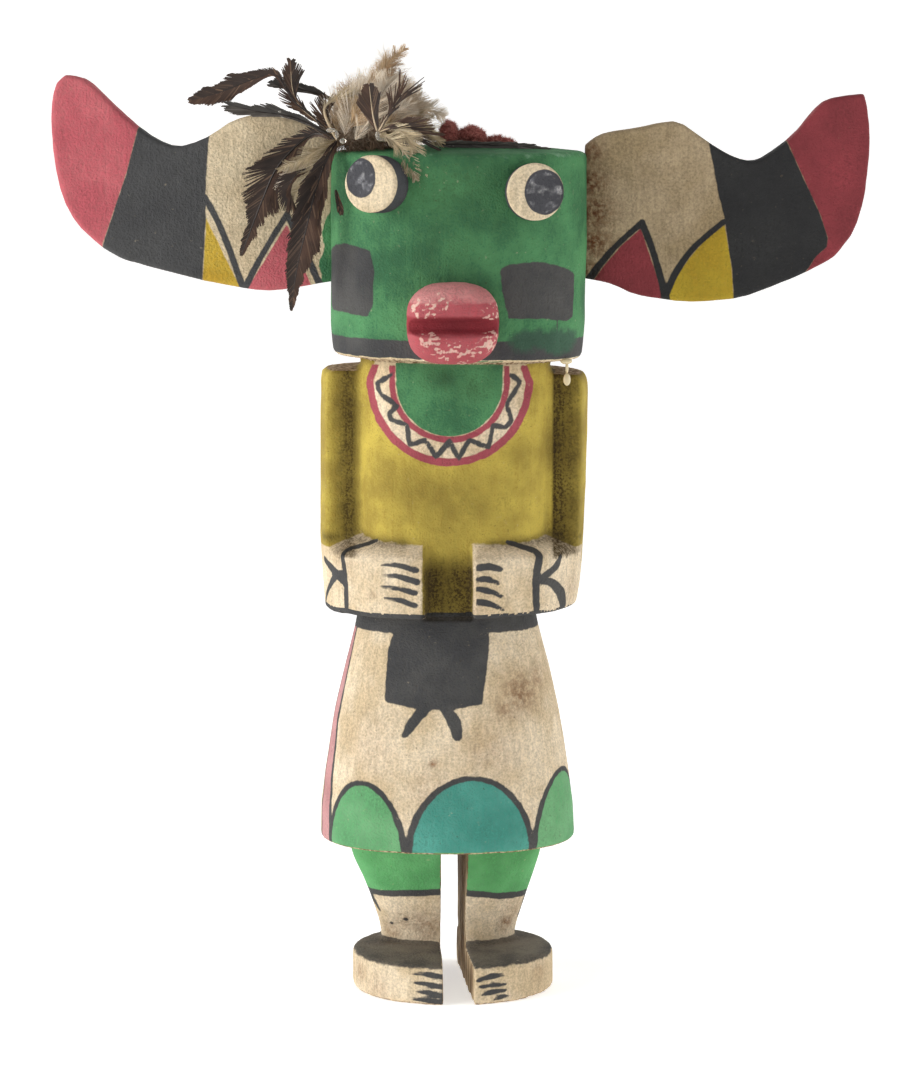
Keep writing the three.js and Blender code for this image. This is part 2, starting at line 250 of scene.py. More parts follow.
def stroke(u: Field, v: Field, path: Sequence[Pair], radii: Sequence[float]) -> Field:
    """Distance inside a brush stroke.

    Args:
        u: First coordinate of each point, mm.
        v: Second coordinate.
        path: The points the brush passes.
        radii: Half the stroke's width, spread evenly along the path.

    Returns:
        The distance inside the stroke's edge, negative outside.
    """
    line = curve_through(path)
    half = np.interp(np.linspace(0, 1, len(line)), np.linspace(0, 1, len(radii)), radii)
    result = np.full(len(u), AWAY)
    reach = half.max() + 4
    near = (u > line[:, 0].min() - reach) & (u < line[:, 0].max() + reach)
    near &= (v > line[:, 1].min() - reach) & (v < line[:, 1].max() + reach)
    nu, nv = u[near], v[near]
    best = np.full(len(nu), AWAY)
    for k in range(len(line) - 1):
        (au, av), (bu, bv) = line[k], line[k + 1]
        length = max((bu - au) ** 2 + (bv - av) ** 2, 1e-9)
        t = np.clip(((nu - au) * (bu - au) + (nv - av) * (bv - av)) / length, 0, 1)
        gap = np.hypot(nu - au - t * (bu - au), nv - av - t * (bv - av))
        best = np.maximum(best, half[k] + (half[k + 1] - half[k]) * t - gap)
    result[near] = best
    return result


def area(u: Field, v: Field, corners: np.ndarray) -> Field:
    """Distance inside a closed outline.

    Args:
        u: First coordinate of each point, mm.
        v: Second coordinate.
        corners: The outline's points in order.

    Returns:
        The distance inside the outline, negative outside.
    """
    line = np.array(corners, float)
    result = np.full(len(u), AWAY)
    reach = 5.0
    near = (u > line[:, 0].min() - reach) & (u < line[:, 0].max() + reach)
    near &= (v > line[:, 1].min() - reach) & (v < line[:, 1].max() + reach)
    nu, nv = u[near], v[near]
    gap = np.full(len(nu), 1e3)
    inside = np.zeros(len(nu), bool)
    for (au, av), (bu, bv) in zip(line, np.roll(line, -1, axis=0)):
        length = max((bu - au) ** 2 + (bv - av) ** 2, 1e-9)
        t = np.clip(((nu - au) * (bu - au) + (nv - av) * (bv - av)) / length, 0, 1)
        gap = np.minimum(gap, np.hypot(nu - au - t * (bu - au), nv - av - t * (bv - av)))
        crossing = (av > nv) != (bv > nv)
        with np.errstate(divide="ignore", invalid="ignore"):
            crossing &= nu < (bu - au) * (nv - av) / (bv - av if bv != av else 1e-9) + au
        inside ^= crossing
    result[near] = np.where(inside, gap, -gap)
    return result


def any_of(*fields: Field) -> Field:
    """The area covered by at least one of several."""
    return np.maximum.reduce(fields)


def all_of(*fields: Field) -> Field:
    """The area covered by all of several."""
    return np.minimum.reduce(fields)


def only(field: Field, here: np.ndarray) -> Field:
    """Keeps an area where a test holds and moves it away elsewhere."""
    return np.where(here, field, AWAY)


def blots(points: np.ndarray, spots: Sequence[tuple[float, float, float, float, float]]) -> Field:
    """Soft round blots.

    Args:
        points: Places, mm.
        spots: Centre x, y, z, radius in mm and strength of each.

    Returns:
        The strongest blot at each point, 0 to 1.
    """
    result = np.zeros(len(points))
    for x, y, z, radius, strength in spots:
        gap = np.linalg.norm(points - np.array([x, y, z]), axis=1)
        result = np.maximum(result, strength * np.exp(-((gap / radius) ** 2)))
    return result


class Surface:
    """A finely meshed copy of a solid that can be carved and painted.

    Attributes:
        piece: The object.
        points: Its vertices in the doll's axes, mm.
        normals: The direction each vertex faces.
    """

    def __init__(self, name: str, node: str, origin: np.ndarray, grain: float, passes: int = 3) -> None:
        """Copies a solid with evenly spaced vertices and softened edges.

        Args:
            name: The new piece's name.
            node: The solid's name.
            origin: The doll's origin in the frame, mm.
            grain: Distance between vertices, mm.
            passes: How far its edges are softened.
        """
        self.origin = origin
        mesh = bpy.data.objects[node].data.copy()
        merged = bmesh.new()
        merged.from_mesh(mesh)
        bmesh.ops.remove_doubles(merged, verts=merged.verts, dist=0.001 * MM)
        merged.to_mesh(mesh)
        merged.free()
        self.piece = bpy.data.objects.new(name, mesh)
        bpy.context.scene.collection.objects.link(self.piece)
        even = self.piece.modifiers.new("even", "REMESH")
        even.mode = "VOXEL"
        even.voxel_size = grain * MM
        even.use_smooth_shade = True
        soften = self.piece.modifiers.new("soften", "SMOOTH")
        soften.factor = 0.5
        soften.iterations = passes
        graph = bpy.context.evaluated_depsgraph_get()
        dense = bpy.data.meshes.new_from_object(self.piece.evaluated_get(graph))
        self.piece.modifiers.clear()
        self.piece.data = dense
        dense.name = name
        dense.materials.clear()
        self.node = node
        self._read()
        ends = np.zeros(len(dense.edges) * 2, np.int32)
        dense.edges.foreach_get("vertices", ends)
        self.edges = ends.reshape(-1, 2)

    def _read(self) -> None:
        """Reads the vertices and their normals from the mesh."""
        mesh = self.piece.data
        flat = np.zeros(len(mesh.vertices) * 3, np.float32)
        mesh.vertices.foreach_get("co", flat)
        self.points = flat.reshape(-1, 3).astype(float) / MM - self.origin
        mesh.vertices.foreach_get("normal", flat)
        self.normals = flat.reshape(-1, 3).astype(float)

    def move(self, offset: np.ndarray) -> None:
        """Moves each vertex by its own offset.

        Args:
            offset: One offset for each vertex, mm.
        """
        mesh = self.piece.data
        world = (self.points + offset + self.origin) * MM
        mesh.vertices.foreach_set("co", world.astype(np.float32).ravel())
        mesh.update()
        self._read()

    def push(self, amount: Field) -> None:
        """Moves the surface out by an amount in mm, or in where it is negative."""
        self.move(self.normals * amount[:, None])

    def spread(self, values: np.ndarray, passes: int) -> np.ndarray:
        """Evens values out between neighbouring vertices.

        Args:
            values: One value or row for each vertex.
            passes: How many steps they spread.

        Returns:
            The evened values.
        """
        a, b = self.edges.T
        count = len(self.points)
        degree = np.bincount(a, minlength=count) + np.bincount(b, minlength=count)
        rows = values.reshape(count, -1).astype(float)
        for _ in range(passes):
            total = np.stack(
                [
                    np.bincount(a, row[b], count) + np.bincount(b, row[a], count)
                    for row in rows.T
                ],
                axis=1,
            )
            rows = 0.5 * rows + 0.5 * total / np.maximum(degree, 1)[:, None]
        return rows.reshape(values.shape)

    def hollowness(self, passes: int) -> Field:
        """How far each point lies in a hollow, mm, or on a ridge where it is negative."""
        return ((self.spread(self.points, passes) - self.points) * self.normals).sum(1)

    def mark(self, name: str, values: Field) -> None:
        """Stores a field on the piece for its finish to read.

        Args:
            name: The field's name.
            values: One value for each vertex.
        """
        attribute = self.piece.data.attributes.new(name, "FLOAT", "POINT")
        attribute.data.foreach_set("value", values.astype(np.float32))

    def finish(self, material: bpy.types.Material, slot: str) -> None:
        """Gives the piece its material and puts it in place of its solid.

        Args:
            material: The finish.
            slot: The record's material slot.
        """
        self.piece.data.materials.append(material)
        settle(self.piece, slot, self.node)


def settle(piece: bpy.types.Object, slot: str, *nodes: str) -> None:
    """Lets a piece ride on the doll, in place of solids if any are named.

    Args:
        piece: The finished piece.
        slot: The record's material slot; not used.
        *nodes: Solids that it stands for.
    """
    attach(piece, BODY)
    if nodes:
        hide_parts(*nodes)
    LOG.info("%s: %d faces", piece.name, len(piece.data.polygons))


# ------------------------------------------------------------------ finishes


@dataclass(frozen=True)
class Coat:
    """One colour of paint.

    Attributes:
        mask: The field that holds the distance inside its edge.
        thin: Its colour where it is thin.
        thick: Its colour where it is thick.
        wear: How much of it has rubbed through.
        wobble: How unsteady its edge is, mm.
        soft: Half the width of its edge, mm.
    """

    mask: str
    thin: str
    thick: str
    wear: float = 0.3
    wobble: float = 0.2
    soft: float = 0.2


@dataclass(frozen=True)
class PaintedRoot:
    """Mineral paint brushed over white clay on cottonwood root.

    The clay ground is rough, so the paint looks dry and mottled, with brush streaks and rubbed
    edges where the clay or the brown wood shows.

    Attributes:
        name: The material's name.
        coats: The paints, the first one lowest.
        clay: Colour of the clean ground.
        handled: Colour of the ground where it is soiled from handling.
        wood: Colour of bare wood.
        grime_and_shade: Colour of the dirt and the painted shade in hollows, and of dark specks.
        stain: Colour of brown stains.
        dusk: What the paint is multiplied by where painted shade darkens recesses, and where a few real
            smudges lie.
        mottling: Strength of the fine light and dark mottling.
        edge_wear: How much of the paint has gone from sharp edges.
    """

    name: str
    coats: tuple[Coat, ...]
    clay: str = "#E4D2B5"
    handled: str = "#CDB794"
    wood: str = "#6B4E33"
    grime_and_shade: str = "#3A2D1A"
    stain: str = "#8A5A2C"
    dusk: str = "#5C5236"
    mottling: float = 0.3
    edge_wear: float = 0.5

    def build(self) -> bpy.types.Material:
        """Builds the material."""
        material = bpy.data.materials.new(self.name)
        material.use_nodes = True
        tree = material.node_tree
        tree.nodes.clear()
        clouds = pattern(tree, 15, 3)
        grit = pattern(tree, 0.6, 2)
        streaks = pattern(tree, 1.1, 3, (1, 1, 0.1))
        rubs = pattern(tree, 1.5, 5, shift=0.3)
        ripple = pattern(tree, 2.6, 2, shift=0.7)

        def read(name: str) -> bpy.types.NodeSocket:
            return add(tree, "ShaderNodeAttribute", attribute_name=name).outputs["Fac"]

        def maths(how: str, first: Any, second: Any) -> bpy.types.NodeSocket:
            return add(tree, "ShaderNodeMath", {0: first, 1: second}, operation=how).outputs[0]

        mix = maths("ADD", maths("MULTIPLY", clouds, 0.45), maths("MULTIPLY", streaks, 0.2))
        mix = maths("ADD", mix, maths("MULTIPLY", grit, 0.35))
        ground = lay(tree, ramp(tree, clouds, (0.35, 0.65), (0, 1)), linear(self.clay), linear(self.handled))
        colour = ground
        for coat in self.coats:
            unsteady = maths("MULTIPLY", maths("SUBTRACT", ripple, 0.5), coat.wobble * 4)
            edge = maths("ADD", read(coat.mask), unsteady)
            cover = ramp(tree, edge, (-coat.soft, coat.soft), (0, 1))
            rubbed = ramp(tree, rubs, (0.64, 0.76), (1, 1 - coat.wear))
            paint = lay(tree, ramp(tree, mix, (0.41, 0.59), (0, 1)), linear(coat.thin), linear(coat.thick))
            colour = lay(tree, maths("MULTIPLY", cover, rubbed), colour, paint)
        mottle = maths("ADD", maths("MULTIPLY", grit, 0.65), maths("MULTIPLY", streaks, 0.35))
        shade = ramp(tree, mottle, (0.3, 0.7), (1 - self.mottling, 1 + 0.6 * self.mottling))
        grey = add(tree, "ShaderNodeCombineColor", {0: shade, 1: shade, 2: shade}).outputs[0]
        colour = lay(tree, 1.0, colour, grey, "MULTIPLY")
        # painted shade in recesses, with some real smudges, multiplied over the paint
        dusk = maths("MULTIPLY", read("dusk"), ramp(tree, mottle, (0.35, 0.65), (1.15, 0.7)))
        colour = lay(tree, dusk, colour, linear(self.dusk), "MULTIPLY")
        worn = maths("ADD", read("ridge"), maths("MULTIPLY", maths("SUBTRACT", rubs, 0.5), 2.2))
        colour = lay(tree, ramp(tree, worn, (0.55, 0.95), (0, self.edge_wear)), colour, ground)
        bare = ramp(tree, read("bare"), (-0.2, 0.2), (0, 1))
        grain = lay(tree, ramp(tree, streaks, (0.35, 0.65), (0, 1)), linear(self.wood), linear(self.handled))
        colour = lay(tree, bare, colour, grain)
        stained = maths("MULTIPLY", read("stain"), ramp(tree, rubs, (0.35, 0.6), (0.35, 1)))
        colour = lay(tree, stained, colour, linear(self.stain), "MULTIPLY")
        # hollows darkened, partly as dirt and partly as painted shade
        dirt_and_shade = maths("MULTIPLY", read("hollow"), ramp(tree, grit, (0.3, 0.6), (0.6, 1)))
        colour = lay(tree, dirt_and_shade, colour, linear(self.grime_and_shade))
        specks = ramp(tree, pattern(tree, 0.9, 2, shift=1.3), (0.7, 0.75), (0, 0.5))
        colour = lay(tree, specks, colour, linear(self.grime_and_shade))
        height = maths("ADD", maths("MULTIPLY", grit, 0.7), maths("MULTIPLY", streaks, 0.3))
        bump = add(tree, "ShaderNodeBump", {"Height": height, "Strength": 0.9, "Distance": 0.6 * MM})
        shader = add(
            tree,
            "ShaderNodeBsdfPrincipled",
            {
                "Base Color": colour,
                "Roughness": 0.82,
                "Specular IOR Level": 0.3,
                "Normal": bump.outputs[0],
            },
        )
        add(tree, "ShaderNodeOutputMaterial", {"Surface": shader.outputs[0]})
        return material


# ------------------------------------------------------------------ the carved figure


@dataclass(frozen=True)
class Scallop:
    """One painted arch on the kilt's hem.

    Attributes:
        centre: Its place round the kilt, mm along the hem from the front.
        half: Half its width, mm.
        height: Its height above the hem, mm.
        blue: Whether it is turquoise and not green.
    """

    centre: float
    half: float
    height: float
    blue: bool = False

    def arch(self, hem: float) -> np.ndarray:
        """The arch as points round the kilt and up, mm."""
        turn = np.linspace(0, math.pi, 28)
        return np.stack([self.centre - self.half * np.cos(turn), hem - 1 + (self.height + 1) * np.sin(turn)],
            1)


@dataclass
class CarvedFigure:
    """Head, chest, arms, kilt, legs and feet, carved from one root."""

    origin: np.ndarray
    grain: float = 0.8
    head_foot: float = 175.4
    jaw_top: float = 181.2
    collar_centre: Pair = (-2.8, 169.8)
    inner_ring: float = 15.2
    outer_ring: float = 21.2
    elbow: float = 106.8
    forearm_lip: float = 123.6
    forearm_rise: float = 4.0
    shoulder: float = 171.4
    belt_foot: float = 101.7
    hem: float = 42.0
    foot_top: float = 10.8
    brush: float = 1.15  # the arms' marks are this much broader than their paths' radii say
    hem_length: float = 191.6
    scallops: tuple[Scallop, ...] = (
        Scallop(-22.2, 12.2, 18.6),
        Scallop(6.1, 15.4, 21.0, blue=True),
        Scallop(36.6, 14.6, 20.5),
        Scallop(66.0, 14.4, 20.5, blue=True),
        Scallop(95.4, 14.4, 20.0),
        Scallop(-66.6, 14.6, 20.0, blue=True),
    )

    def build(self) -> None:
        """Builds, carves, paints and places the figure."""
        surface = Surface("figure", "carved_figure", self.origin, self.grain)
        self._carve(surface)
        self._paint(surface)
        surface.finish(FIGURE_PAINT.build(), "painted_root")

    def _carve(self, surface: Surface) -> None:
        """Gives the surface its slow waves from the knife and its chipped edges."""
        points = surface.points
        waves = 0.16 * lattice_noise(points, 13, 1) + 0.09 * lattice_noise(points, 5, 2)
        ridge = np.clip(-surface.hollowness(4), 0, 0.4)
        chips = ridge * np.clip(lattice_noise(points, 3.2, 3) - 0.15, 0, 1) * 2.2
        surface.push(waves - chips)

    def _head_arc(self, x: Field, y: Field) -> Field:
        """Place round the head, mm from the middle of its face."""
        return 31 * np.arctan2((x + 0.4) / 34.5, -y / 28)

    def _torso_arc(self, x: Field, y: Field) -> Field:
        """Place round the arms, mm from the middle of the chest."""
        return 32 * np.arctan2((x + 2.2) / 36, -y / 28)

    def _kilt_arc(self, x: Field, y: Field) -> Field:
        """Place round the kilt, mm along its hem from the front."""
        return 30.5 * np.arctan2((x + 3.6) * 0.72, -y)

    def _forearms(self, x: Field, y: Field, z: Field) -> Field:
        """The area of the forearms and fists."""
        chest = ((np.abs(x + 1.8) / 25.3) ** 2.8 + (np.abs(y) / 22.3) ** 2.8) ** (1 / 2.8)
        arm = ((np.abs(x + 2.2) / 35.2) ** 2.15 + (np.abs(y) / 27.4) ** 2.15) ** (1 / 2.15)
        bevel = self.forearm_lip + np.clip((1 - arm) / 0.23, 0, 1) * self.forearm_rise
        beside_slot = np.maximum(-10.0 - x, x - 3.4)
        elbow_end = np.where(x < 0, 4 - y, -4 - y + np.clip(116 - z, 0, 8))
        return all_of((chest - 1.02) * 24, bevel + 0.5 - z, beside_slot, elbow_end, z - self.elbow + 1)

    def _paint(self, surface: Surface) -> None:
        """Works out where each colour lies."""
        points = surface.points
        x, y, z = points.T
        nx, _, nz = surface.normals.T
        front = y < 0
        jaw_height = z + 0.018 * (x + 0.7) - self.head_foot
        head = all_of(jaw_height - 0.3, (nz + 0.5) * 4)
        cx, cz = self.collar_centre
        reach = np.hypot(x - cx, np.minimum(z - cz, 0))
        on_chest = front & (z < self.head_foot + 0.4) & (z > 140) & (np.abs(x) < 27)
        outer = self.outer_ring - 0.35 * np.clip(z - cz, 0, 5)
        forearms = only(self._forearms(x, y, z), z < 130)
        torso = all_of(z - self.elbow + 0.3, -jaw_height - 0.2)
        collar = only(outer + 0.4 - reach, on_chest)
        surface.mark("yellow", all_of(torso, -forearms, -collar))
        surface.mark("green", any_of(head, only(14.2 - reach, on_chest)))
        rings = any_of(0.8 - np.abs(reach - self.inner_ring), 1.05 - np.abs(reach - outer))
        surface.mark("red", only(all_of(rings, 174.2 - z), on_chest))
        self._paint_kilt(surface, x, y, z)
        self._paint_legs(surface, x, z, nz)
        black = [
            self._face_marks(x, y, z, head),
            only(self._zigzag(x, z), on_chest),
            only(self._arm_marks(x, y, z), forearms > -1.5),
            self._kilt_marks(x, y, z),
            self._leg_marks(x, y, z),
        ]
        surface.mark("black", any_of(*black))
        arc = self._head_arc(x, y)
        smear = [(14, 183.5), (33, 183), (33, 178.5), (26, 177), (20, 179), (14, 178.5)]
        wash = area(arc, z, curve_through(smear, True))
        surface.mark("wash", only(wash, head > 0))
        slot_left = np.interp(y, (-30, 30), (-4.4, -6.4))
        slot_right = np.interp(y, (-30, 30), (4.5, -2.1))
        to_slot = np.minimum(np.abs(x - slot_left), np.abs(x - slot_right))
        slot = only(0.9 - to_slot, (np.abs(nx) > 0.75) & (z < 43.5) & (z > 0.4))
        shoulders = only((nz - 0.95) * 3, np.abs(z - self.shoulder) < 2.2)
        underneath = only((-nz - 0.6) * 3, (z < 44) & (z > 41) | (z < 1) | (jaw_height < 0.6) & (z > 170))
        surface.mark("bare", any_of(slot, shoulders, underneath))
        ridge = np.clip(-surface.hollowness(3) * 2.2, 0, 1)
        surface.mark("ridge", ridge)
        surface.mark("mint", only(ridge * 1.6 - 0.55, (z > 228.5) & (y < -6) & (x > -16)))
        # darkening in hollows, partly dirt and partly painted shade
        deep = np.clip(surface.hollowness(40) * 0.55 - 0.12, 0, 0.9)
        surface.mark("hollow", deep)
        surface.mark("stain", blots(points, self._stains()))
        # painted shade in the grooves, the slot, the ledge and the face's middle, with some real smudges
        surface.mark("dusk", self._shade_and_smudges(points))

    def _shade_and_smudges(self, points: np.ndarray) -> Field:
        """Painted shade in the chest's grooves, the slot between the fists, the ledge over the forearms and
        the face's middle, with dark patches on the chest that are partly real smudges and partly painted
        shade.
        """
        x, y, z = points.T
        upper = (y < 4) & (z > 122) & (z < 173)
        # painted shade in the grooves beside the chest, and the chest's painted shadow on the right arm
        left = np.interp(x, (-35.4, -33.2, -31, -28.8, -26.6), (0, 0.45, 0.85, 0.85, 0))
        right = np.interp(x, (24.6, 25.2, 28, 31.6, 33.8), (0, 0.98, 0.85, 0.65, 0))
        # painted shade in the slot between the fists
        slot = np.interp(x, (-10.4, -9.6, -7, -3.3, 0.6, 3, 3.8), (0, 0.98, 0.95, 0.8, 0.95, 0.98, 0))
        slot = slot * np.clip((127 - z) / 8, 0, 1) * (y < 0) * (z > self.elbow - 2)
        # painted shade where the forearms' ledge meets the chest
        ledge = np.clip(1 - np.abs(z - 126.6) / 2.4, 0, 1) * np.clip((np.abs(x + 3) - 8) / 4, 0,
            1) * 0.7 * (y < -6)
        # real smudges on the collar, and painted shade on the middle of the chest
        smudges_and_shade = blots(points * np.array([1, 0, 1.8]), [
            (-4, 0, 171 * 1.8, 7, 0.55), (3, 0, 168.5 * 1.8, 8, 0.45), (0, 0, 138 * 1.8, 17, 0.38),
            (14, 0, 150 * 1.8, 9, 0.2), (-14, 0, 134 * 1.8, 8, 0.2), (-2, 0, 128 * 1.8, 14, 0.3),
        ]) * (y < 0)
        # painted shade on the middle of the face
        head = blots(points, [(2, -28, 222, 17, 0.4), (-4, -28, 205, 16, 0.3), (-3, -26, 226, 9, 0.35)])
        return np.maximum.reduce([np.maximum(left, right) * upper, slot, ledge, smudges_and_shade, head])

    def _stains(self) -> list[tuple[float, float, float, float, float]]:
        """Brown stains: centre, radius and strength."""
        return [
            (16, -16, 85, 5.5, 0.75), (12, -18, 81, 4, 0.6), (20, -11, 88, 4, 0.5), (8, -20, 70, 8, 0.3),
            (-24, -18, 70, 8, 0.25), (-7.3, -23.6, 66.9, 1.1, 0.9), (-8, -22, 60, 5, 0.4),
            (-15.5, 0, 18, 2.5, 0.6), (-9, -1, 16.5, 5, 0.55), (-20, 1, 13.5, 3, 0.7),
            (12.5, 2, 16.5, 2.6, 0.8),
            (15, 2, 20, 4, 0.4), (-27, -11, 6, 3, 0.5), (-22, -17, 3, 4, 0.4), (22, -14, 7, 3, 0.4),
            (-23.5, -23, 113, 1.2, 0.35), (30, -12, 113, 4, 0.3), (-30, -16, 122, 4, 0.3),
            (4, -27, 110, 3, 0.3),
        ]

    def _face_marks(self, x: Field, y: Field, z: Field, head: Field) -> Field:
        """The cheek patches, the band along the jaw and a crack."""
        arc = self._head_arc(x, y)
        left = [(-43, 204), (-36, 205.8), (-30, 206.4), (-21.5, 204.9), (-20.4, 199), (-20.8, 190.4),
                (-22.3, 187.3), (-30, 187.9), (-40, 188.3), (-43.6, 189.5)]
        right = [(9.8, 200.2), (12, 201.4), (19.5, 202), (27, 200.2), (32, 198.4), (32, 192), (31.6, 186.8),
                 (28.8, 185.8), (20, 186.8), (11.8, 187.1), (10.2, 194.5)]
        patches = any_of(area(arc, z, np.array(left)), area(arc, z, np.array(right)))
        jaw = self.jaw_top - 0.012 * x - z
        crack = stroke(arc, z, [(25.3, 195), (25, 189), (25.4, 182.5)], (0.05, 0.3, 0.1))
        return all_of(any_of(patches, jaw, crack), head)

    def _zigzag(self, x: Field, z: Field) -> Field:
        """The zigzag between the collar's rings, given as degrees from straight down and radius."""
        teeth = [(-98, 15.3), (-88, 19.4), (-80, 18.8), (-65, 15.2), (-63, 18), (-57, 18.6), (-45, 16),
                 (-32, 19.9), (-23, 16.4), (-10, 20.2), (0, 15.4), (7, 20.4), (19, 16), (31, 20.2),
                 (46, 16.2),
                 (51, 19.2), (59, 19.4), (69, 16.2), (90, 18.9), (97, 16.4)]
        cx, cz = self.collar_centre
        corners = [(cx + r * math.sin(math.radians(a)), cz - r * math.cos(math.radians(a))) for a, r in teeth]
        legs = [stroke(x, z, pair, (0.5, 0.72, 0.5)) for pair in zip(corners, corners[1:])]
        return any_of(*legs)

    def _arm_marks(self, x: Field, y: Field, z: Field) -> Field:
        """Bracelets, the marks beside them and the fingers."""
        arc = self._torso_arc(x, y)
        marks = [
            ([(-23.2, 126.9), (-29.4, 124.4), (-30, 123), (-28.9, 116), (-29.2, 106)],
                (0.5, 0.7, 0.75, 0.8, 0.7)),
            ([(-41.5, 120.4), (-34, 117.8), (-29.4, 115.4)], (0.7, 1.2, 0.9)),
            ([(-44, 108.5), (-38.5, 113), (-33, 116.9), (-29.6, 117.8)], (0.5, 0.9, 0.9)),
            ([(16.2, 127), (22.2, 124.6), (22.4, 123.4), (21.3, 116.5), (22.5, 106)],
                (0.5, 0.9, 1.1, 1, 0.9)),
            ([(29.8, 122.8), (27.5, 119.6), (22, 116.6)], (0.4, 1.0, 0.9)),
            ([(21.5, 117), (26.7, 115.6), (31, 112), (33.4, 108.2)], (0.9, 1.0, 1.5, 1.2)),
            ([(-17.4, 121.3), (-13, 121.4), (-8.6, 120.2)], (0.25, 0.6, 0.75)),
            ([(-17.4, 118.4), (-13, 118.4), (-8.3, 117)], (0.25, 0.6, 0.75)),
            ([(-17.4, 115.3), (-13, 115.1), (-8.8, 114)], (0.3, 0.55, 0.7)),
            ([(-16.7, 112.3), (-12.5, 111.9), (-8.8, 110.6)], (0.3, 0.6, 0.7)),
            ([(5.8, 120.8), (9, 121.2), (11.6, 120.4)], (0.85, 0.9, 0.6)),
            ([(5.8, 117.9), (8.5, 117.8), (11, 116.7)], (0.65, 0.75, 0.5)),
            ([(5.8, 115.3), (9, 114.6), (12.2, 113)], (0.75, 0.75, 0.4)),
            ([(5.5, 111.8), (9, 111.2), (12.8, 109.2)], (0.95, 0.8, 0.25)),
        ]
        widened = [(path, [self.brush * radius for radius in radii]) for path, radii in marks]
        drawn = any_of(*[stroke(arc, z, path, radii) for path, radii in widened])
        return all_of(drawn, any_of(-9.2 - x, x - 4.2))

    def _paint_kilt(self, surface: Surface, x: Field, y: Field, z: Field) -> None:
        """The scallops and the pink edge of the kilt."""
        arc = self._kilt_arc(x, y)
        on_kilt = (z > self.hem - 1.5) & (z < self.belt_foot + 1)
        green, blue = [], []
        for scallop in self.scallops:
            for turn in (0, -self.hem_length):
                arch = scallop.arch(self.hem) + np.array([turn, 0])
                (blue if scallop.blue else green).append(area(arc, z, arch))
        surface.mark("kilt_green", only(any_of(*green), on_kilt))
        surface.mark("turquoise", only(any_of(*blue), on_kilt))
        line = self._sash_line(z)
        surface.mark("pink", only(all_of(line - 0.4 - arc, arc - line + 8.2), on_kilt & (x < 0)))

    def _sash_line(self, z: Field) -> Field:
        """Where the kilt's open edge runs, as its place round the kilt."""
        return -35.3 - 0.092 * (z - 54)

    def _kilt_marks(self, x: Field, y: Field, z: Field) -> Field:
        """The belt, the apron with its two tails and the scallops' outlines."""
        arc = self._kilt_arc(x, y)
        front = y < 0
        on_kilt = (z > self.hem - 1.5) & (z < self.elbow + 1)
        belt = z - self.belt_foot + 0.02 * np.abs(x)
        apron = area(x, z, np.array([(-18.1, 105), (-18.1, 101), (-19.4, 97.3), (-20, 89.9), (-20.3, 83.6),
                                     (-19.5, 82.8), (-12.1, 81.6), (-4, 81.3), (0.8, 81.9), (5.9, 82.7),
                                     (7, 90.2), (7.8, 97.1), (7.9, 105)]))
        tails = any_of(
            stroke(x, z, [(-6, 85), (-9.6, 81.6), (-12.6, 78), (-15, 74.4)], (1.2, 1.5, 1.5, 0.8)),
            stroke(x, z, [(-6.5, 85), (-3.6, 81.4), (-1.4, 77.6), (-0.6, 74.2)], (1.2, 1.6, 1.9, 1.2)),
        )
        lines = []
        for scallop in self.scallops:
            for turn in (0, -self.hem_length):
                lines.append(stroke(arc, z, scallop.arch(self.hem)[::3] + np.array([turn, 0]),
                    (0.9, 0.7, 0.9)))
        sash = np.minimum(np.abs(arc - self._sash_line(z)), np.abs(arc - self._sash_line(z) + 8.4))
        lines.append(only(0.75 - sash, x < 0))
        return only(any_of(belt, only(any_of(apron, tails), front), *lines), on_kilt)

    def _paint_legs(self, surface: Surface, x: Field, z: Field, nz: Field) -> None:
        """The green upper legs and the dark tops of the feet."""
        surface.mark("leg_green", only(z - self._band(x), (z < self.hem + 0.6) & (z > self.foot_top + 1)))
        tops = all_of(z - self.foot_top + 0.75, (nz - 0.35) * 3, 13 - z)
        surface.mark("dusty", only(tops, z > 8))

    def _band(self, x: Field) -> Field:
        """Height of the black band round each leg."""
        return np.interp(x, (-26, -14, -6, 2, 11, 19), (25.2, 26.3, 26.9, 26.6, 25.2, 24.6))

    def _leg_marks(self, x: Field, y: Field, z: Field) -> Field:
        """The leg bands, side marks, toes and pits."""
        bands = only(1.0 - np.abs(z - self._band(x)), z < 40)
        sides = any_of(
            stroke(x, z, [(-25.4, 25), (-23.6, 21.6), (-22, 19)], (0.8, 0.5, 0.2)),
            stroke(x, z, [(18.8, 24.6), (17.6, 20.6), (16.2, 17)], (0.8, 0.5, 0.2)),
        )
        toes = [
            ([(-12.9, 8.6), (-9, 8.7), (-4.7, 8)], (0.2, 0.8, 0.8)),
            ([(-12.6, 6.1), (-9, 5.9), (-4.7, 5.2)], (0.2, 0.7, 0.8)),
            ([(-13, 4), (-9, 3.5), (-4.7, 2.7)], (0.2, 0.8, 0.9)),
            ([(-13.4, 1.6), (-9, 1.4), (-4.7, 0.9)], (0.2, 0.8, 0.9)),
            ([(4.9, 6.9), (8.5, 7.9), (12, 7.9)], (0.6, 0.8, 0.3)),
            ([(5.2, 5), (9, 5.4), (12.6, 5.2)], (0.5, 0.6, 0.25)),
            ([(6, 2.9), (9, 3.5), (12.5, 3.6)], (0.4, 0.8, 0.3)),
            ([(9.4, 1.3), (11.4, 1.9), (13.5, 1.6)], (0.3, 0.7, 0.3)),
        ]
        pits = [stroke(x, z, [(px, pz), (px + 0.3, pz)], (0.5,)) for px, pz in ((-15.3, 18), (-19.2, 16.3))]
        low = z < self.foot_top
        return any_of(
            bands,
            only(any_of(sides, *pits), (y < 9) & (z > self.foot_top + 1) & (z < 30)),
            only(any_of(*[stroke(x, z, path, radii) for path, radii in toes]), (y < -12) & low),
        )


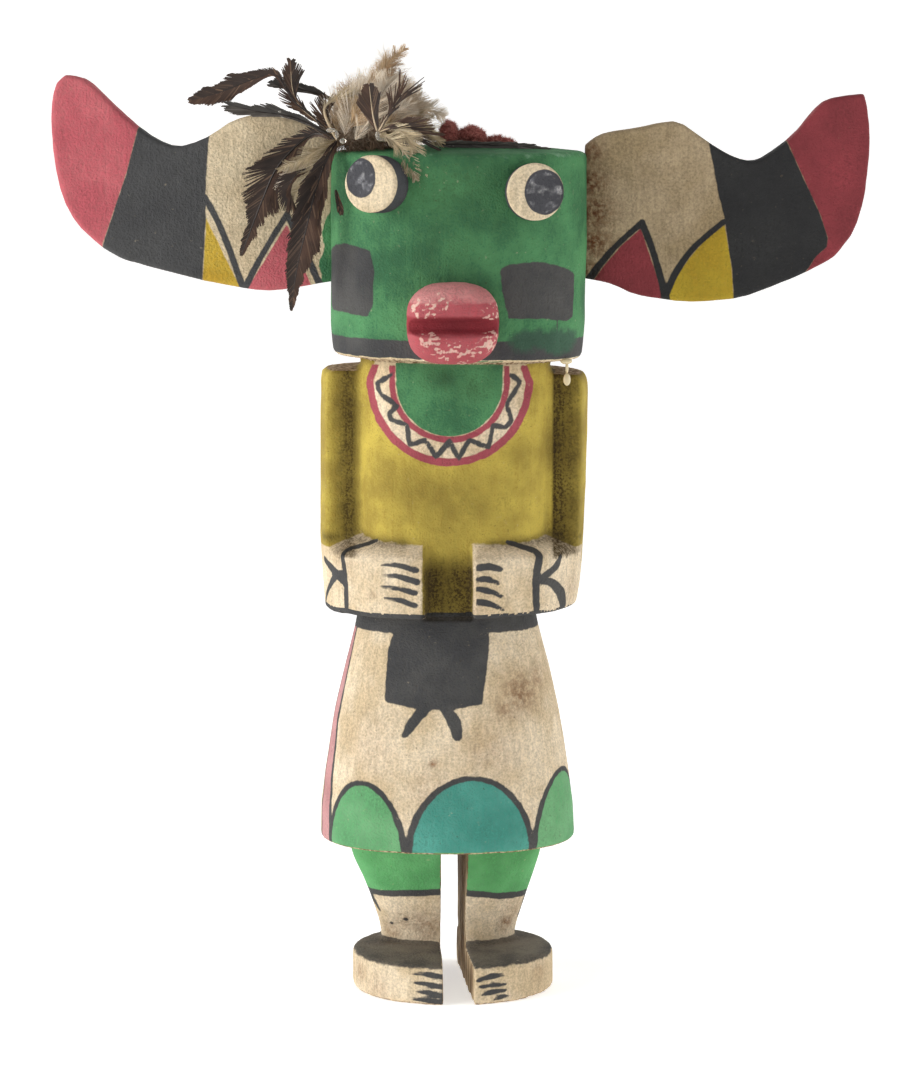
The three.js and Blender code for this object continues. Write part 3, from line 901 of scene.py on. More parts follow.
FIGURE_PAINT = PaintedRoot(
    "mineral_paint_on_cottonwood_root",
    (
        Coat("yellow", "#CDB650", "#9A8436", 0.3),
        Coat("green", "#56935F", "#356744", 0.25),
        Coat("mint", "#A9CBAE", "#86B08E", 0.5, 0.25, 0.3),
        Coat("kilt_green", "#78B27E", "#5D9B67", 0.25),
        Coat("turquoise", "#58A494", "#3E8778", 0.25),
        Coat("leg_green", "#6AB371", "#529659", 0.25),
        Coat("red", "#AC525B", "#93404A", 0.45),
        Coat("pink", "#C79594", "#B47F7E", 0.45),
        Coat("black", "#52514F", "#3C3C3D", 0.25, 0.2),
        Coat("dusty", "#7A7163", "#4A4641", 0.3, 0.4, 0.3),
        Coat("wash", "#3F5F4B", "#34503F", 0.9, 0.9, 1.4),
    ),
)


# ------------------------------------------------------------------ horns


@dataclass
class Horn:
    """A thin board horn glued to the side of the head.

    Attributes:
        origin: The doll's origin, mm.
        node: Its solid.
        finish: Its paint.
        tip_edge: Where the red tip begins.
        band_edge: Where the black band ends towards the head.
        red_tooth: Outline of the red triangle.
        yellow_tooth: Outline of the yellow triangle.
        lines: Black lines and half their widths.
        root: Place of its root.
        outward: -1 for the left horn and 1 for the right.
        strip: Outline of the green strip at the root, if it has one.
        glue: Brown glue stains at the root.
    """

    origin: np.ndarray
    node: str
    finish: PaintedRoot
    tip_edge: Sequence[Pair]
    band_edge: Sequence[Pair]
    red_tooth: Sequence[Pair]
    yellow_tooth: Sequence[Pair]
    lines: Sequence[tuple[Sequence[Pair], Sequence[float]]]
    root: float
    outward: int
    strip: Sequence[Pair] = ()
    glue: Sequence[tuple[float, float, float, float, float]] = ()
    grain: float = 0.42

    def build(self) -> None:
        """Builds, paints and places the horn."""
        surface = Surface(self.node + "_board", self.node, self.origin, self.grain, 4)
        points = surface.points
        waves = 0.14 * lattice_noise(points, 9, 11) + 0.06 * lattice_noise(points, 3, 12)
        surface.push(waves)
        near = np.clip(1 - np.abs(surface.points[:, 0] - self.root) / 3, 0, 1)
        surface.move(np.stack([-self.outward * 0.8 * near, 0 * near, 0 * near], 1))
        self._paint(surface)
        surface.finish(self.finish.build(), "painted_board")

    def _paint(self, surface: Surface) -> None:
        """Works out where each colour lies."""
        x, y, z = surface.points.T
        front = y < 3
        tip = self._deep(x, z, self.tip_edge)
        band = self._deep(x, z, self.band_edge)
        teeth = only(area(x, z, np.array(self.red_tooth)), front)
        surface.mark("red", any_of(tip, teeth))
        surface.mark("yellow", only(area(x, z, np.array(self.yellow_tooth)), front))
        lines = any_of(*[stroke(x, z, path, radii) for path, radii in self.lines])
        surface.mark("black", any_of(all_of(band, -tip), only(lines, front)))
        strip = area(x, z, curve_through(self.strip, True)) if self.strip else np.full(len(x), AWAY)
        surface.mark("green", strip)
        surface.mark("bare", np.full(len(x), AWAY))
        surface.mark("ridge", np.clip(-surface.hollowness(5) * 2.2, 0, 1))
        # darkening in hollows, partly dirt and partly painted shade
        surface.mark("hollow", np.clip(surface.hollowness(30) * 0.6, 0, 1))
        surface.mark("stain", blots(surface.points * np.array([1, 0, 1]), self.glue))
        surface.mark("dusk", np.zeros(len(x)))

    def _deep(self, x: Field, z: Field, edge: Sequence[Pair]) -> Field:
        """Distance past an edge line, away from the head, unlimited at the board's rim."""
        heights = [place[1] for place in reversed(edge)]
        across = [place[0] for place in reversed(edge)]
        return self.outward * (x - np.interp(z, heights, across)) * 0.95


# Lit copy of the horns' paint: the left horn's colours are made lighter as painted light.
HORN_LEFT_PAINT_LIT = PaintedRoot(
    "mineral_paint_on_board_bright",
    (
        Coat("yellow", "#CBAC42", "#B9952F", 0.3, 0.15),
        Coat("green", "#56935F", "#356744", 0.3, 0.3),
        Coat("red", "#C96C71", "#B4565E", 0.25, 0.12),
        Coat("black", "#4D4D4D", "#424243", 0.22, 0.12),
    ),
    clay="#DAC8A8",
    handled="#C7B392",
)

# Shaded copy of the horns' paint: the right horn's colours are made darker as painted shade.
HORN_RIGHT_PAINT_SHADED = PaintedRoot(
    "mineral_paint_on_board_dark",
    (
        Coat("yellow", "#B39A2C", "#A08422", 0.25, 0.15),
        Coat("green", "#56935F", "#356744", 0.3, 0.3),
        Coat("red", "#8C383E", "#782F34", 0.25, 0.12),
        Coat("black", "#2D2D2D", "#242425", 0.15, 0.12),
    ),
    clay="#A89577",
    handled="#958262",
)


# ------------------------------------------------------------------ eyes and snout


@dataclass
class Eye:
    """A dowel end set on the face.

    Attributes:
        origin: The doll's origin, mm.
        node: Its solid.
        face: The middle of its flat end.
        yaw: Its turn to the viewer's right, degrees.
        pupil: The pupil's centre on the flat end, right and up.
        radii: Half the pupil's width and height.
    """

    origin: np.ndarray
    node: str
    face: Triple
    yaw: float
    pupil: Pair
    radii: Pair
    pitch: float = -3.0
    inset: float = 0.45

    def build(self) -> None:
        """Builds, paints and places the eye."""
        surface = Surface(self.node + "_dowel", self.node, self.origin, 0.3, 3)
        yaw, pitch = math.radians(self.yaw), math.radians(self.pitch)
        inward = np.array([-math.sin(yaw) * math.cos(pitch), math.cos(yaw) * math.cos(pitch),
            math.sin(pitch)])
        right = np.array([math.cos(yaw), math.sin(yaw), 0])
        up = np.cross(right, inward)
        surface.move(np.outer(np.full(len(surface.points), self.inset), inward))
        surface.push(0.05 * lattice_noise(surface.points, 2.5, 21))
        offset = surface.points - np.array(self.face)
        depth, u, v = offset @ inward - self.inset, offset @ right, offset @ up
        away = np.hypot((u - self.pupil[0]) / self.radii[0], (v - self.pupil[1]) / self.radii[1])
        pupil = (1 - away) * min(self.radii)
        surface.mark("black", any_of(only(pupil, depth < 1), depth - 1.1))
        surface.mark("bare", np.full(len(u), AWAY))
        surface.mark("ridge", np.clip(-surface.hollowness(4) * 1.2, 0, 1))
        # darkening down the dowel's side where it sinks into the face: dirt and painted shade
        surface.mark("hollow", np.clip((depth - 6) * 0.12, 0, 0.3))
        # painted glints: pale spots on the pupils stand in for reflections
        lit = lattice_noise(surface.points, 2.6, 22) + 0.7 * lattice_noise(surface.points, 0.9, 23)
        surface.mark("flecks", only(lit - 0.4, pupil > 0.5))
        surface.mark("stain", np.zeros(len(u)))
        surface.mark("dusk", np.zeros(len(u)))
        surface.finish(EYE_PAINT.build(), "painted_dowel")


EYE_PAINT = PaintedRoot(
    "clay_and_black_paint_on_dowel",
    (
        Coat("black", "#4A4A4E", "#333337", 0.15, 0.12, 0.12),
        # painted glints: pale spots on the pupils as reflections
        Coat("flecks", "#7C7C80", "#B4B2AE", 0.6, 0.3, 0.6),
    ),
    clay="#D9C7A8",
    handled="#C8B28E",
)


@dataclass
class Snout:
    """The barrel snout with its mouth groove."""

    origin: np.ndarray
    centre: Pair = (-1.9, 186.5)
    groove: float = 186.3
    rubbed: tuple[tuple[float, float, float], ...] = (
        (-9.5, 190.6, 2.2), (-5.5, 192.3, 1.3), (7.6, 190, 1.6), (7.4, 182, 2.0), (-8.6, 182.6, 1.3),
        (-1.2, 178.5, 2.2), (2.6, 179.4, 1.5), (-4.6, 179.8, 1.3),
    )

    def build(self) -> None:
        """Builds, paints and places the snout."""
        surface = Surface("snout_barrel", "snout", self.origin, 0.34, 5)
        surface.move(np.tile([0, 0.5, 0], (len(surface.points), 1)))
        surface.push(0.15 * lattice_noise(surface.points, 4, 31) + 0.06 * lattice_noise(surface.points, 1.4,
            32))
        x, y, z = surface.points.T
        surface.mark("red", np.full(len(x), 3.0))
        surface.mark("pink", all_of(z - 192.2, y + 41.6))
        groove = 2.3 - np.abs(z - self.groove)
        surface.mark("groove", only(groove, y < -32))
        patches = [stroke(x, z, [(px, pz), (px + 0.8, pz + 0.2)], (r,)) for px, pz, r in self.rubbed]
        scratches = lattice_noise(surface.points * np.array([1, 1, 2.2]), 1.1, 33)
        scratches += 0.8 * lattice_noise(surface.points * np.array([1.6, 1, 1.2]), 0.6, 34)
        surface.mark("rubbed", only(np.minimum(any_of(*patches) + 0.9, 0.6) + 1.5 * scratches - 1.0, y < -34))
        surface.mark("bare", np.full(len(x), AWAY))
        surface.mark("ridge", np.clip(-surface.hollowness(6) * 0.8, 0, 1))
        # darkening in hollows, partly dirt and partly painted shade
        surface.mark("hollow", np.clip(surface.hollowness(10) * 1.4 - 0.1, 0, 0.5))
        surface.mark("stain", np.zeros(len(x)))
        surface.mark("dusk", np.zeros(len(x)))
        surface.finish(SNOUT_PAINT.build(), "painted_snout")


SNOUT_PAINT = PaintedRoot(
    "worn_red_paint_on_root",
    (
        Coat("red", "#B75C62", "#A3484E", 0.3),
        Coat("pink", "#CC8B88", "#BE7776", 0.2, 0.3, 0.4),
        Coat("groove", "#99343C", "#7C2931", 0.2, 0.25, 0.5),
        Coat("rubbed", "#E0BFAE", "#CF9C92", 0.4, 0.2, 0.4),
    ),
)


# ------------------------------------------------------------------ feathers and down


def new_tree(name: str, inputs: Sequence[tuple[str, str]]) -> tuple[bpy.types.NodeTree, bpy.types.Node]:
    """Starts a geometry node tree.

    Args:
        name: The tree's name.
        inputs: Name and socket type of each input after the geometry.

    Returns:
        The tree and its input node.
    """
    tree = bpy.data.node_groups.new(name, "GeometryNodeTree")
    tree.interface.new_socket("Geometry", in_out="INPUT", socket_type="NodeSocketGeometry")
    for label, kind in inputs:
        tree.interface.new_socket(label, in_out="INPUT", socket_type=kind)
    tree.interface.new_socket("Geometry", in_out="OUTPUT", socket_type="NodeSocketGeometry")
    return tree, add(tree, "NodeGroupInput")


def grow(piece: bpy.types.Object, tree: bpy.types.NodeTree, values: dict[str, Any]) -> None:
    """Runs a tree on a piece and keeps the result as its mesh.

    Args:
        piece: The piece, whose mesh the tree reads.
        tree: The geometry node tree.
        values: The tree's inputs by name.
    """
    modifier = piece.modifiers.new(tree.name, "NODES")
    modifier.node_group = tree
    for item in tree.interface.items_tree:
        if item.in_out == "INPUT" and item.name in values:
            modifier[item.identifier] = values[item.name]
    graph = bpy.context.evaluated_depsgraph_get()
    mesh = bpy.data.meshes.new_from_object(piece.evaluated_get(graph))
    piece.modifiers.clear()
    mesh.name = piece.name
    piece.data = mesh


def unit_ribbon(
    tree: bpy.types.NodeTree, width: bpy.types.NodeSocket, thinning: float, bend: float, sag: float
) -> bpy.types.NodeSocket:
    """A thin tapered ribbon along x from 0 to 1 that bends towards y and sags in z.

    Args:
        tree: The geometry node tree.
        width: Its width at the root, m.
        thinning: How much of its width is gone at its tip, 0 to 1.
        bend: How far its tip bends towards y, in ribbon lengths.
        sag: How far its tip sags in z, in ribbon lengths.

    Returns:
        The socket with the ribbon, whose attribute "tip" runs from 0 to 1.
    """

    def maths(how: str, *feeds: Any) -> bpy.types.NodeSocket:
        return add(tree, "ShaderNodeMath", dict(enumerate(feeds)), operation=how).outputs[0]

    grid = add(tree, "GeometryNodeMeshGrid", {"Size X": 1.0, "Size Y": width, "Vertices X": 5,
        "Vertices Y": 2})
    place = add(tree, "ShaderNodeSeparateXYZ", {0: add(tree, "GeometryNodeInputPosition").outputs[0]})
    along = maths("ADD", place.outputs[0], 0.5)
    square = maths("POWER", along, 2.0)
    taper = maths("MULTIPLY_ADD", square, -thinning, 1.0)
    curl = maths("MULTIPLY_ADD", square, bend, maths("MULTIPLY", place.outputs[1], taper))
    position = add(tree, "ShaderNodeCombineXYZ", {0: along, 1: curl,
        2: maths("MULTIPLY", square, sag)}).outputs[0]
    kept = store(tree, grid.outputs["Mesh"], "tip", along, "POINT")
    return add(tree, "GeometryNodeSetPosition", {"Geometry": kept, "Position": position}).outputs[0]


def store(
    tree: bpy.types.NodeTree,
    geometry: bpy.types.NodeSocket,
    name: str,
    value: bpy.types.NodeSocket | float,
    domain: str = "INSTANCE",
) -> bpy.types.NodeSocket:
    """Stores a value on a geometry for its material to read.

    Args:
        tree: The geometry node tree.
        geometry: The geometry.
        name: The attribute's name.
        value: The value.
        domain: Where it is stored.

    Returns:
        The socket with the geometry.
    """
    feeds = {"Geometry": geometry, "Name": name, "Value": value}
    return add(tree, "GeometryNodeStoreNamedAttribute", feeds, data_type="FLOAT", domain=domain).outputs[0]


def toned(tree: bpy.types.NodeTree, instances: bpy.types.NodeSocket, seed: int) -> bpy.types.NodeSocket:
    """Gives each instance its own tone, 0 to 1, in the attribute "tone"."""
    chance = add(tree, "FunctionNodeRandomValue", {"Seed": seed}, data_type="FLOAT").outputs[1]
    return store(tree, instances, "tone", chance)


class Side(Enum):
    """The two sides of a quill."""

    LEFT = -1.0
    RIGHT = 1.0


def vane_tree() -> bpy.types.NodeTree:
    """A feather's vane: barbs on both sides of a tapering quill, drawn together in clumps.

    Returns:
        The tree. Its geometry is the quills' lines with the attribute "reach", half the vane's width.
    """
    tree, given = new_tree(
        "feather_vane",
        (
            ("Spacing", "NodeSocketFloat"),
            ("Barb Width", "NodeSocketFloat"),
            ("Lean", "NodeSocketFloat"),
            ("Raggedness", "NodeSocketFloat"),
            ("Fray", "NodeSocketFloat"),
            ("Lift", "NodeSocketFloat"),
            ("Clump Size", "NodeSocketFloat"),
            ("Quill Radius", "NodeSocketFloat"),
            ("Facing", "NodeSocketVector"),
            ("Vane", "NodeSocketMaterial"),
            ("Quill", "NodeSocketMaterial"),
        ),
    )

    def maths(how: str, *feeds: Any) -> bpy.types.NodeSocket:
        return add(tree, "ShaderNodeMath", dict(enumerate(feeds)), operation=how).outputs[0]

    def vector(how: str, *feeds: Any, scale: Any = None) -> bpy.types.NodeSocket:
        numbered = dict(enumerate(feeds))
        if scale is not None:
            numbered["Scale"] = scale
        return add(tree, "ShaderNodeVectorMath", numbered, operation=how).outputs[0]

    line = add(tree, "GeometryNodeMeshToCurve", {"Mesh": given.outputs["Geometry"]}).outputs[0]
    resample = add(tree, "GeometryNodeResampleCurve", mode="LENGTH")
    tree.links.new(line, resample.inputs["Curve"])
    tree.links.new(given.outputs["Spacing"], resample.inputs["Length"])
    even = resample.outputs[0]
    factor = add(tree, "GeometryNodeSplineParameter").outputs["Factor"]
    tangent = add(tree, "GeometryNodeInputTangent").outputs[0]
    reach = add(tree, "GeometryNodeInputNamedAttribute", {"Name": "reach"}, data_type="FLOAT").outputs[0]
    sideways = vector("CROSS_PRODUCT", given.outputs["Facing"], tangent)
    clumps = vector("DIVIDE", add(tree, "GeometryNodeInputPosition").outputs[0], given.outputs["Clump Size"])
    parts = []
    for side in Side:
        place = vector("ADD", clumps, (7.3 * side.value, 1.7, 0.4))
        clump = add(tree, "ShaderNodeTexNoise", {"Vector": place, "Scale": 1.0, "Detail": 0.0}).outputs[0]
        wisp = add(tree, "ShaderNodeTexNoise", {"Vector": place, "Scale": 5.0, "Detail": 1.0}).outputs[0]
        chance = add(tree, "FunctionNodeRandomValue", {2: -1.0, 3: 1.0, "Seed": int(side.value) + 5},
            data_type="FLOAT")
        ragged = given.outputs["Raggedness"]
        swing = maths("MULTIPLY", maths("SUBTRACT", clump, 0.5), maths("MULTIPLY", ragged, 2.0))
        angle = maths("ADD", given.outputs["Lean"], swing)
        angle = maths("MULTIPLY_ADD", maths("MULTIPLY", chance.outputs[1], ragged), 0.12, angle)
        forward = vector("SCALE", tangent, scale=maths("COSINE", angle))
        outward = vector("SCALE", sideways, scale=maths("MULTIPLY", maths("SINE", angle), side.value))
        rise = maths("MULTIPLY", maths("SUBTRACT", wisp, 0.48), given.outputs["Lift"])
        lift = vector("SCALE", given.outputs["Facing"], scale=rise)
        turn = add(
            tree,
            "FunctionNodeAxesToRotation",
            {"Primary Axis": vector("ADD", vector("ADD", forward, outward), lift),
             "Secondary Axis": given.outputs["Facing"]},
            primary_axis="X",
            secondary_axis="Z",
        ).outputs[0]
        fray = maths("MULTIPLY_ADD", maths("SUBTRACT", wisp, 0.5), given.outputs["Fray"], 1.0)
        length = maths("MULTIPLY", maths("DIVIDE", reach, maths("SINE", given.outputs["Lean"])), fray)
        scale = add(tree, "ShaderNodeCombineXYZ", {0: length, 1: 1.0, 2: length}).outputs[0]
        barb = unit_ribbon(tree, given.outputs["Barb Width"], 0.55, 0.0, 0.04)
        barbs = add(
            tree,
            "GeometryNodeInstanceOnPoints",
            {"Points": even, "Instance": barb, "Rotation": turn, "Scale": scale},
        ).outputs[0]
        parts.append(store(tree, toned(tree, barbs, 3), "side", side.value))
    thinning = maths("MULTIPLY_ADD", factor, -0.8, 1.0)
    sized = add(tree, "GeometryNodeSetCurveRadius", {"Curve": even, "Radius": thinning}).outputs[0]
    ring = add(tree, "GeometryNodeCurvePrimitiveCircle", {"Resolution": 6,
        "Radius": given.outputs["Quill Radius"]})
    feeds = {"Curve": sized, "Profile Curve": ring.outputs[0], "Fill Caps": True}
    sweep = add(tree, "GeometryNodeCurveToMesh", feeds)
    if "Scale" in sweep.inputs:
        tree.links.new(thinning, sweep.inputs["Scale"])
    joined = add(tree, "GeometryNodeJoinGeometry")
    for part in (*parts, store(tree, sweep.outputs[0], "quill", 1.0, "POINT")):
        tree.links.new(part, joined.inputs[0])
    real = add(tree, "GeometryNodeRealizeInstances", {"Geometry": joined.outputs[0]}).outputs[0]
    dressed = add(tree, "GeometryNodeSetMaterial", {"Geometry": real,
        "Material": given.outputs["Vane"]}).outputs[0]
    is_quill = add(tree, "GeometryNodeInputNamedAttribute", {"Name": "quill"}, data_type="FLOAT").outputs[0]
    feeds = {"Geometry": dressed, "Selection": maths("GREATER_THAN", is_quill, 0.5),
        "Material": given.outputs["Quill"]}
    done = add(tree, "GeometryNodeSetMaterial", feeds).outputs[0]
    add(tree, "NodeGroupOutput", {"Geometry": done})
    return tree


@dataclass(frozen=True)
class FeatherFinish:
    """Keratin barbs of a small body feather: slightly glossy, paler on one side of the quill.

    Attributes:
        name: The material's name.
        dark: Colour of the darker half of the vane.
        warm: Colour of the paler half.
        pale: Colour of the odd pale barb.
        gloss: Its roughness.
    """

    name: str
    dark: str = "#2B211C"
    warm: str = "#4A3224"
    pale: str = "#7A5F4A"
    gloss: float = 0.5

    def build(self) -> bpy.types.Material:
        """Builds the material."""
        material = bpy.data.materials.new(self.name)
        material.use_nodes = True
        tree = material.node_tree
        tree.nodes.clear()
        tone = add(tree, "ShaderNodeAttribute", attribute_name="tone").outputs["Fac"]
        side = add(tree, "ShaderNodeAttribute", attribute_name="side").outputs["Fac"]
        half = lay(tree, ramp(tree, side, (-0.5, 0.5), (0.15, 0.8)), linear(self.dark), linear(self.warm))
        bands = ramp(tree, pattern(tree, 5, 2), (0.35, 0.65), (0.75, 1.2))
        grey = add(tree, "ShaderNodeCombineColor", {0: bands, 1: bands, 2: bands}).outputs[0]
        colour = lay(tree, 1.0, half, grey, "MULTIPLY")
        colour = lay(tree, ramp(tree, tone, (0.75, 1.0), (0, 0.7)), colour, linear(self.pale))
        shader = add(tree, "ShaderNodeBsdfPrincipled", {"Base Color": colour, "Roughness": self.gloss})
        add(tree, "ShaderNodeOutputMaterial", {"Surface": shader.outputs[0]})
        return material


class Plumage(Enum):
    """The kinds of feather in the bunch."""

    BLADE = FeatherFinish("brown_contour_feather")
    GREY = FeatherFinish("grey_contour_feather", "#3A3734", "#4C4640", "#77706A")
    TAN = FeatherFinish("tan_downy_feather", "#9C7D5B", "#C0A27C", "#E3D3B6", 0.8)
    CREAM = FeatherFinish("cream_downy_feather", "#DCCBB4", "#E8DAC4", "#F8F2E8", 0.9)
    STRAW = FeatherFinish("straw_downy_feather", "#A79576", "#C6B390", "#E6DABF", 0.8)


@dataclass(frozen=True)
class Feather:
    """One small feather.

    Attributes:
        path: Its quill from root to tip, mm.
        widths: The vane's width along the quill, mm.
        kind: The kind of feather.
        node: The solid it stands for, if it has one.
        lean: Angle between barbs and quill, degrees.
        ragged: How far the barbs part into clumps, radians.
        spacing: Distance between barbs, mm.
        quill: The quill's radius at the root, mm.
        pale_quill: Whether its quill is pale.
    """

    path: tuple[Triple, ...]
    widths: tuple[float, ...]
    kind: Plumage = Plumage.BLADE
    node: str = ""
    lean: float = 18
    ragged: float = 0.12
    spacing: float = 0.16
    quill: float = 0.28
    pale_quill: bool = False

    @property
    def downy(self) -> bool:
        """Whether its barbs are loose and soft."""
        return self.kind in (Plumage.TAN, Plumage.CREAM, Plumage.STRAW)


def downy(kind: Plumage, width: float, *path: Triple) -> Feather:
    """A loose downy plume, broadest in its middle.

    Args:
        kind: The kind of feather.
        width: Its greatest width, mm.
        *path: Its quill from root to tip, mm.

    Returns:
        The feather.
    """
    shape = tuple(width * part for part in (0.35, 0.85, 0.9, 0.6, 0.2))
    return Feather(path, shape, kind, lean=30, ragged=0.75, spacing=0.1, quill=0.12, pale_quill=True)


KNOT = (-32.5, -13.0, 233.5)  # where the quills of the big feathers meet
BEAD = (-21.6, -22.0, 235.6)  # where the small brown tips in the down meet

FEATHERS = (
    Feather((KNOT, (-38.4, -11.5, 239), (-44, -12, 243.6), (-46.2, -12, 247), (-49, -11.5, 250.6),
             (-55.2, -10.5, 249.3), (-63, -9.5, 246.2), (-71.6, -9, 243.8)),
            (0.1, 0.1, 0.15, 0.3, 2.6, 6, 4.6, 0.8), node="feather_swept", lean=27, ragged=0.14),
    Feather((KNOT, (-37.5, -9.5, 238), (-42.6, -8.5, 242.3), (-44.6, -8, 247), (-45, -8, 254)),
            (0.2, 0.5, 4, 4, 0.8), node="feather_upright", lean=19, ragged=0.6, spacing=0.22,
            pale_quill=True),
    Feather((KNOT, (-39.5, -14.5, 237.6), (-45.1, -14, 239.7), (-52.5, -13.5, 240.8), (-60.2, -13, 242.4)),
            (0.4, 1.4, 2.6, 2.8, 0.8), Plumage.GREY, "feather_level", lean=9, quill=0.4),
    Feather(((-30, -2, 241), (-36, -3, 244.6), (-43.2, -3, 246.9), (-49.6, -3, 247.9)),
            (0.4, 1.8, 2, 0.6), Plumage.GREY, "feather_thin", lean=9),
    Feather((KNOT, (-39.5, -9.5, 234.8), (-48.1, -9.5, 226.9), (-52.7, -9.5, 217.5), (-58.4, -9, 203)),
            (0.3, 2.5, 9, 9, 4, 0.6), node="feather_slanting", lean=30, ragged=0.45, quill=0.45),
    Feather((KNOT, (-38.8, -16.5, 227), (-43.4, -17, 224.4), (-45, -17, 221), (-44.5, -16.5, 216.4)),
            (0.2, 0.8, 3.4, 3.8, 1.4), node="feather_small", lean=18, ragged=0.4),
    Feather((KNOT, (-35.3, -19, 228), (-38, -20, 220.5), (-40.7, -20, 209.9), (-43.2, -19.5, 199.4),
        (-44.7, -19, 189)),
            (2, 7.4, 8.4, 7, 3.6, 0.4), node="feather_hanging", lean=26, ragged=0.14, spacing=0.14),
    Feather((BEAD, (-22.8, -22.6, 240), (-23.7, -22.8, 247.6)),
            (1.5, 6.4, 4, 0.8), node="feather_front", lean=24, ragged=0.12, spacing=0.14, pale_quill=True),
    Feather((BEAD, (-19, -22.8, 240), (-15.8, -22.6, 244.8)), (0.5, 2.2, 4.4), lean=16, ragged=0.9,
        spacing=0.3,
            pale_quill=True),
    Feather((BEAD, (-18, -22.4, 236.8), (-14, -22, 235.8)), (0.8, 3.6, 3.6), lean=10, ragged=0.15,
        pale_quill=True),
    Feather((KNOT, (-36, -18.2, 225), (-38.6, -19, 214), (-40.4, -18.6, 204)), (1.5, 5, 4, 1), lean=12,
        ragged=0.25),
    Feather(((-33, -13, 232), (-35.5, -11, 238), (-35.6, -9, 242)), (1.5, 6, 4), lean=26, ragged=0.7,
        spacing=0.2),
    Feather(((-9, -15, 232.6), (4, -15, 232.3), (14, -13, 231.9), (22.6, -10, 231)), (1.4, 1.8, 1.4, 0.5),
            Plumage.GREY, lean=8, quill=0.35),
    Feather(((-32.9, -17.5, 220.5), (-32.2, -18, 217.5), (-31.4, -18.5, 214.6)), (1, 1.6, 0.6), lean=20),
    Feather((KNOT, (-35.8, -16.5, 240.9), (-33.4, -15.6, 243.9), (-29, -15.5, 245.2)), (0.2, 0.6, 3, 2),
            Plumage.STRAW, lean=16, quill=0.55, pale_quill=True),
    downy(Plumage.TAN, 4.6, (-30, -14, 238), (-25.1, -13.4, 245.3), (-21.7, -13.2, 250.5), (-17, -13, 255.6)),
    downy(Plumage.TAN, 5.4, (-24, -14, 245), (-20, -14, 252), (-14.6, -13, 257.5)),
    downy(Plumage.CREAM, 9, (-30.4, -15, 234.9), (-28.5, -16, 241.4), (-25.8, -15, 246.1),
        (-22.1, -14, 249.4)),
    downy(Plumage.CREAM, 9, (-27.7, -16, 233.6), (-24, -17.5, 239.3), (-20.8, -17, 245), (-18.4, -15, 250)),
    downy(Plumage.CREAM, 9, (-25, -11, 236), (-18.6, -11, 242.5), (-15.2, -10, 249)),
    downy(Plumage.CREAM, 8, (-23, -8, 236), (-15, -8, 240.5), (-11.4, -8, 245)),
    downy(Plumage.CREAM, 8, (-31, -9, 234), (-33, -8, 240), (-30, -7, 245.6)),
    downy(Plumage.CREAM, 9, (-26, 0, 236), (-25, 3, 243), (-20, 5, 248.6)),
    downy(Plumage.CREAM, 9, (-20, 2, 236), (-14, 4, 240), (-10, 5, 243)),
    downy(Plumage.CREAM, 8, (-28, 4, 235), (-31, 7, 239), (-29, 9, 243)),
    downy(Plumage.CREAM, 7, (-24, -16, 236), (-18, -17, 240), (-13.5, -16, 243)),
    downy(Plumage.TAN, 7, (-30, -14, 236), (-27.5, -17, 239), (-26, -18, 243.4)),
    downy(Plumage.TAN, 6, (-33, -12, 235), (-31, -14, 240), (-27, -14, 244)),
    downy(Plumage.TAN, 6, (-22, -17, 236), (-16, -18, 237.6), (-11.4, -17, 236)),
    downy(Plumage.STRAW, 5, (-21, -20, 237.5), (-15.6, -23, 236.2), (-11.6, -25, 230.5), (-9.6, -27, 222)),
    downy(Plumage.STRAW, 5, (-22, -20.5, 235.5), (-17.4, -24, 233.5), (-13.4, -26, 228.5),
        (-11.6, -27.5, 223.5)),
    downy(Plumage.STRAW, 5, (-20, -12, 240), (-11, -12, 238), (-6, -12, 235)),
    downy(Plumage.STRAW, 5, (-18, -15, 237), (-10, -16, 235.4), (-5, -16, 232.8)),
    downy(Plumage.CREAM, 5, (-16, -10, 241), (-9, -10, 241.4), (-4, -10, 239.6)),
    downy(Plumage.STRAW, 4.4, KNOT, (-37.6, -15, 230.9), (-42.3, -15, 228.3), (-48, -14.6, 225.6)),
    downy(Plumage.STRAW, 4, KNOT, (-36.5, -17, 229.6), (-41, -17, 223), (-45.6, -16, 216.4)),
    downy(Plumage.CREAM, 3.6, KNOT, (-38.5, -13.5, 229), (-44.5, -13.5, 225), (-49, -13, 221)),
)


